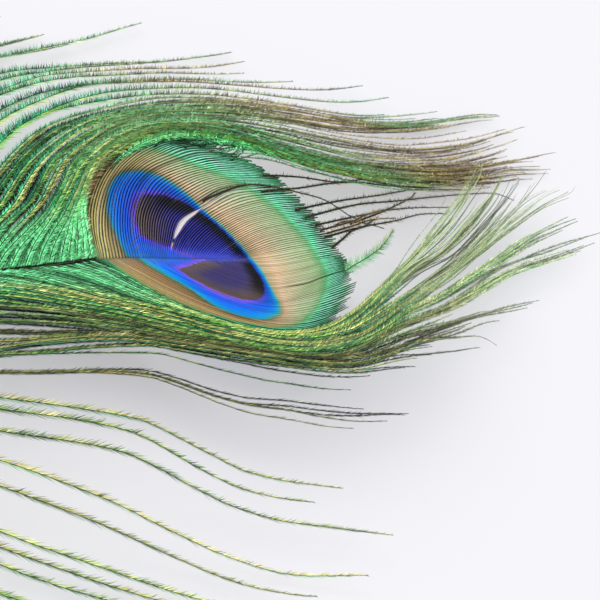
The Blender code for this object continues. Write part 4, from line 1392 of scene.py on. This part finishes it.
painted_shade_strip("shade_strip_left", 1, green_barbs, "barbs_left")
painted_shade_strip("shade_strip_right", -1, green_barbs, "barbs_right")
sweep_barbs("sweep_left", 1, -45.4, -15.2, green_barbs, "barbs_left")
stem_barbs("stem_left", 1, -173.5, -46.5, green_barbs, "barbs_left")
sweep_barbs("sweep_right_outer", -1, -78.0, -44.0, green_barbs, "barbs_right")
sweep_barbs("sweep_right_inner", -1, -44.0, -15.8, green_barbs, "barbs_right")
stem_barbs("stem_right", -1, -173.5, -80.0, green_barbs, "barbs_right")

# %% [markdown]
# ## Barbs that leave the eye
#
# The barbs of the eye don't all end at its rim. On the left side many run on past it as loose barbs: those
# nearest the stem join the stream, and twelve go their own way, ten as thin dark threads and two golden.
# These twelve are placed one by one, and so is one feathery barb that crosses over from the right.

# %% Barbs past the rim
PAST_KIND = Kind(
    rib=0.06, pitch=0.15, foot=0.2, stray=0.2,
    reach=((0.0, 0.5, 0.9, 1.0), (1.1, 1.1, 0.9, 0.4)),
    lean=((0.0, 1.0), (28.0, 14.0)),
    rise=(8.0, 20.0),
)
THREAD_KIND = Kind(
    rib=0.17, pitch=0.1, foot=0.2, stray=0.24,
    reach=((0.0, 0.5, 1.0), (0.8, 1.0, 0.6)),
    lean=((0.0, 1.0), (22.0, 16.0)),
    rise=(4.0, 14.0),
)
PAST_ROOTS = (-15.4, -6.5)
# They are drawn into their bundles, and farther out to the stream, by chance shares.
PAST_PULL = (0.0, 0.5)
PAST_PULL_RUN = (16.0, 40.0)
STREAM_ROOT = -15.0
STREAM_PULL = (0.3, 0.8)
STREAM_PULL_RUN = (24.0, 46.0)
# Their splay, least height, rise of a bundle, lengths, starts within the rim, and darkest shade.
PAST_SPLAY = 0.8
PAST_HEIGHT = 0.25
PAST_RISE = 0.3
PAST_LENGTHS = (0.8, 1.0)
PAST_STARTS = (0.4, 2.0)
PAST_SHADE = 0.7
# Their barbules are short at first, where the eye's own still hold together.
PAST_SPREAD = 0.2
SPREAD_BY = 9.0
THREADS = (
    ((18, 9.6), (26.1, 10.7), (32.6, 12), (39.2, 13), (48, 13.7), (61.2, 15.7)),
    ((20, 12.2), (27, 12.4), (34, 12.4), (41, 13.8), (47, 15)),
    ((22, 7), (32.2, 9.2), (41.7, 11.2), (52.5, 13.9), (65.4, 16)),
    ((23, 5.9), (35.8, 9), (45.4, 10.8), (61.5, 14.3), (72.1, 16), (76, 14.7)),
    ((24, 4.8), (34.2, 7), (41.5, 8.7), (48.9, 10.1), (57.7, 11.4)),
    ((24.4, 3), (32.6, 5), (37.2, 6), (42.1, 7.1), (48.6, 8.9), (55.6, 10)),
    ((28, 5), (31, 5.9), (34.8, 5.8), (38.5, 5.2)),
    ((24.6, 1.4), (28, 3), (30.6, 4.3), (34.1, 5.4), (39, 7.6)),
    ((31, 5.4), (39.8, 8.2), (48.6, 11.6), (52.1, 13.5)),
    ((7, 8), (10, 9), (17, 10.7), (25.4, 9.8), (29.5, 8.9), (32, 7), (34, 6.2), (38, 6.8)),
)
GOLDEN = (
    ((24, 3.8), (31.4, 5.6), (35.4, 7), (41, 8.6)),
    ((25, 3.4), (31.4, 5), (36, 6.3), (42, 7.2)),
)
FEATHERY = ((23, -3), (26, -1.6), (31, 0.5), (35.5, 2.6), (40, 5.5))


def free_barb(barbs, side, flat, kind, height, shade, warm):
    """A barb along its own given path."""
    length, path = paced(flat)
    points = path[: int(length) + 1]
    z = sheet_height(points[:, 0], points[:, 1]) + height
    loose_barb(barbs, side, np.column_stack([points, z]), kind, chance.random(), shade, warm)


def past_rim(name, material, node):
    """The barbs that leave the eye on the left: those of the stream first, then the lone ones."""
    barbs = Barbs(LOOSE_VALUES)
    for root, bundle, depth in bundled_roots(1, *PAST_ROOTS):
        near = (bundle, chance.uniform(*PAST_PULL), *PAST_PULL_RUN)
        far = (STREAM_ROOT, chance.uniform(*STREAM_PULL), *STREAM_PULL_RUN)
        splay = chance.normal(0.0, PAST_SPLAY)
        height = PAST_HEIGHT + PAST_RISE * (1.0 - depth)
        points = barb_points(
            1, root, (near, far), splay, height,
            chance.uniform(*PAST_LENGTHS), inside=chance.uniform(*PAST_STARTS),
        )
        warm = warmth(1, root, points[:, 0], points[:, 1])
        spread = between(PAST_SPREAD, 1.0, smooth_step(0.0, SPREAD_BY, distances(points)))
        shade = PAST_SHADE * depth
        loose_barb(barbs, 1, points, PAST_KIND, chance.random(), shade, warm, spread=spread)
    for flat in THREADS:
        free_barb(barbs, 1, flat, THREAD_KIND, height=0.35, shade=0.62, warm=0.9)
    for flat in GOLDEN:
        free_barb(barbs, 1, flat, THREAD_KIND, height=0.6, shade=0.1, warm=1.0)
    free_barb(barbs, -1, FEATHERY, STEM_KIND[1], height=0.3, shade=0.35, warm=0.3)
    barbs.piece(name, material, "barbs", node)


past_rim("barbs_past_rim", green_barbs, "barbs_left")

# %% [markdown]
# ## Down
#
# At the quill the barbs are soft: they wave, and their barbules are long loose hairs with no hooks,
# which stand out on all sides. They are a plain grey, without any green.

# %% Down
# Root x, length, then the angle to the shaft at the root and at the tip.
DOWN = (
    (-199.0, 12.0, 78.0, 70.0),
    (-192.0, 22.0, 74.0, 52.0),
    (-183.0, 33.0, 68.0, 46.0),
    (-174.0, 42.0, 62.0, 42.0),
)
DOWN_KIND = Kind(
    rib=0.05, pitch=0.3, foot=0.07, stray=0.45,
    reach=((0.0, 0.2, 0.8, 1.0), (2.0, 3.4, 2.8, 1.2)),
    lean=((0.0, 1.0), (64.0, 44.0)),
    rise=(20.0, 30.0),
)
DOWN_GUIDES = {side: guide_set(side, DOWN) for side in (1, -1)}
DOWN_ROOTS = np.arange(-199.0, -168.0, 0.7)
DOWN_WOBBLE = (0.9, 5.0)


def down_barbs(name, side, material, node):
    barbs = Barbs(LOOSE_VALUES)
    for root in DOWN_ROOTS:
        length = chance.uniform(0.8, 1.0) * barb_length(DOWN_GUIDES[side], root)
        run = np.arange(0.0, length, RIB_STEP)
        flat = lane(DOWN_GUIDES[side], np.full_like(run, root), run)
        flat = flat + leftward(flat) * wobble(run, *DOWN_WOBBLE)[:, None]
        height = chance.uniform(0.2, 1.4) * smooth_step(0.0, 8.0, run)
        points = np.column_stack([flat, sheet_height(flat[:, 0], flat[:, 1]) + height])
        loose_barb(barbs, side, points, DOWN_KIND, chance.random())
    barbs.piece(name, material, "down", node)


def down_finish():
    material, wire, finish = new_material("down_grey")
    tone, edge = wire.value("tone"), wire.value("edge")
    colour = tone.mix((120, 112, 104), (176, 168, 158))
    finish(Base_Color=(1.0 - edge * 0.15).shaded(colour), Roughness=0.7, Specular_IOR_Level=0.2)
    return material


grey_down = down_finish()
down_barbs("fluff_left", 1, grey_down, "down_left")
down_barbs("fluff_right", -1, grey_down, "down_right")

# %% [markdown]
# ## The shaft
#
# The shaft is a long horn tube: thick and closed at the quill, then slowly thinner to a hair in the
# eye. It is drawn out as by hand from a circle, one short length after another, each sized to the
# shaft there. It is white at the quill and darkens along its length, until it lies in the eye as a
# fine blue line.

# %% Shaft
SHAFT_LENGTHS = 64
SHAFT_SIDES = 12
# In the eye the shaft is sunk between the halves, by this depth past these places.
SHAFT_SUNK = 0.3
SUNK_FROM = (-20.0, -12.0)
# The colour ramp's 0 and its length along the shaft.
SHAFT_RAMP_FROM = -225.0
SHAFT_RAMP_LENGTH = 250.0


def shaft_stations():
    """x, y, z in metres and radius in metres along the shaft."""
    x = np.linspace(SHAFT[0][0], SHAFT[-1][0], SHAFT_LENGTHS + 1)
    rows = shaft_at(x)
    rows[:, 3] *= np.interp(x, *SHAFT_FINENESS)
    rows[:, 2] -= SHAFT_SUNK * smooth_step(*SUNK_FROM, x)
    return (rows + np.array([EYE_X, EYE_Y, 0.0, 0.0])) * MM


def drawn_shaft(material):
    stations = shaft_stations()
    bpy.ops.object.select_all(action="DESELECT")
    bpy.ops.mesh.primitive_circle_add(
        vertices=SHAFT_SIDES, radius=stations[0, 3], fill_type="NGON",
        location=stations[0, :3], rotation=(0.0, math.pi / 2.0, 0.0),
    )
    shaft = bpy.context.active_object
    bpy.ops.object.transform_apply(location=True, rotation=True, scale=True)
    bpy.ops.object.mode_set(mode="EDIT")
    bpy.ops.mesh.select_all(action="SELECT")
    for before, after in zip(stations[:-1], stations[1:]):
        bpy.ops.mesh.extrude_region_move(TRANSFORM_OT_translate={"value": (after - before)[:3]})
        size = after[3] / before[3]
        bpy.ops.transform.resize(value=(size, size, size), center_override=after[:3])
    bpy.ops.mesh.select_all(action="SELECT")
    bpy.ops.mesh.normals_make_consistent(inside=False)
    bpy.ops.object.mode_set(mode="OBJECT")
    shaft.name = shaft.data.name = "shaft_drawn"
    shaft.data.materials.clear()
    shaft.data.materials.append(material)
    shaft.data.shade_smooth()
    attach(shaft, "root")
    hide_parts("shaft")
    print("shaft of", len(shaft.data.polygons), "faces")


def shaft_finish():
    material, wire, finish = new_material("shaft_horn")
    place = wire.add("ShaderNodeTexCoord", output=3)
    x = wire.add("ShaderNodeSeparateXYZ", {}, {0: place}) * (1.0 / MM) - EYE_X
    grain = wire.grain(x * 0.4, x * 0.0, 1.0, 3.0)
    colour = ((x - SHAFT_RAMP_FROM) * (1.0 / SHAFT_RAMP_LENGTH)).ramp([
        (0.1, (226, 218, 200)), (0.35, (196, 178, 140)), (0.68, (128, 132, 92)),
        (0.8, (82, 110, 78)), (0.84, (120, 104, 70)), (0.856, (16, 70, 150)),
        (0.9, (14, 40, 120)), (0.93, (20, 18, 60)),
    ])
    finish(Base_Color=(0.8 + grain * 0.4).shaded(colour), Roughness=0.55, Specular_IOR_Level=0.15)
    return material


drawn_shaft(shaft_finish())
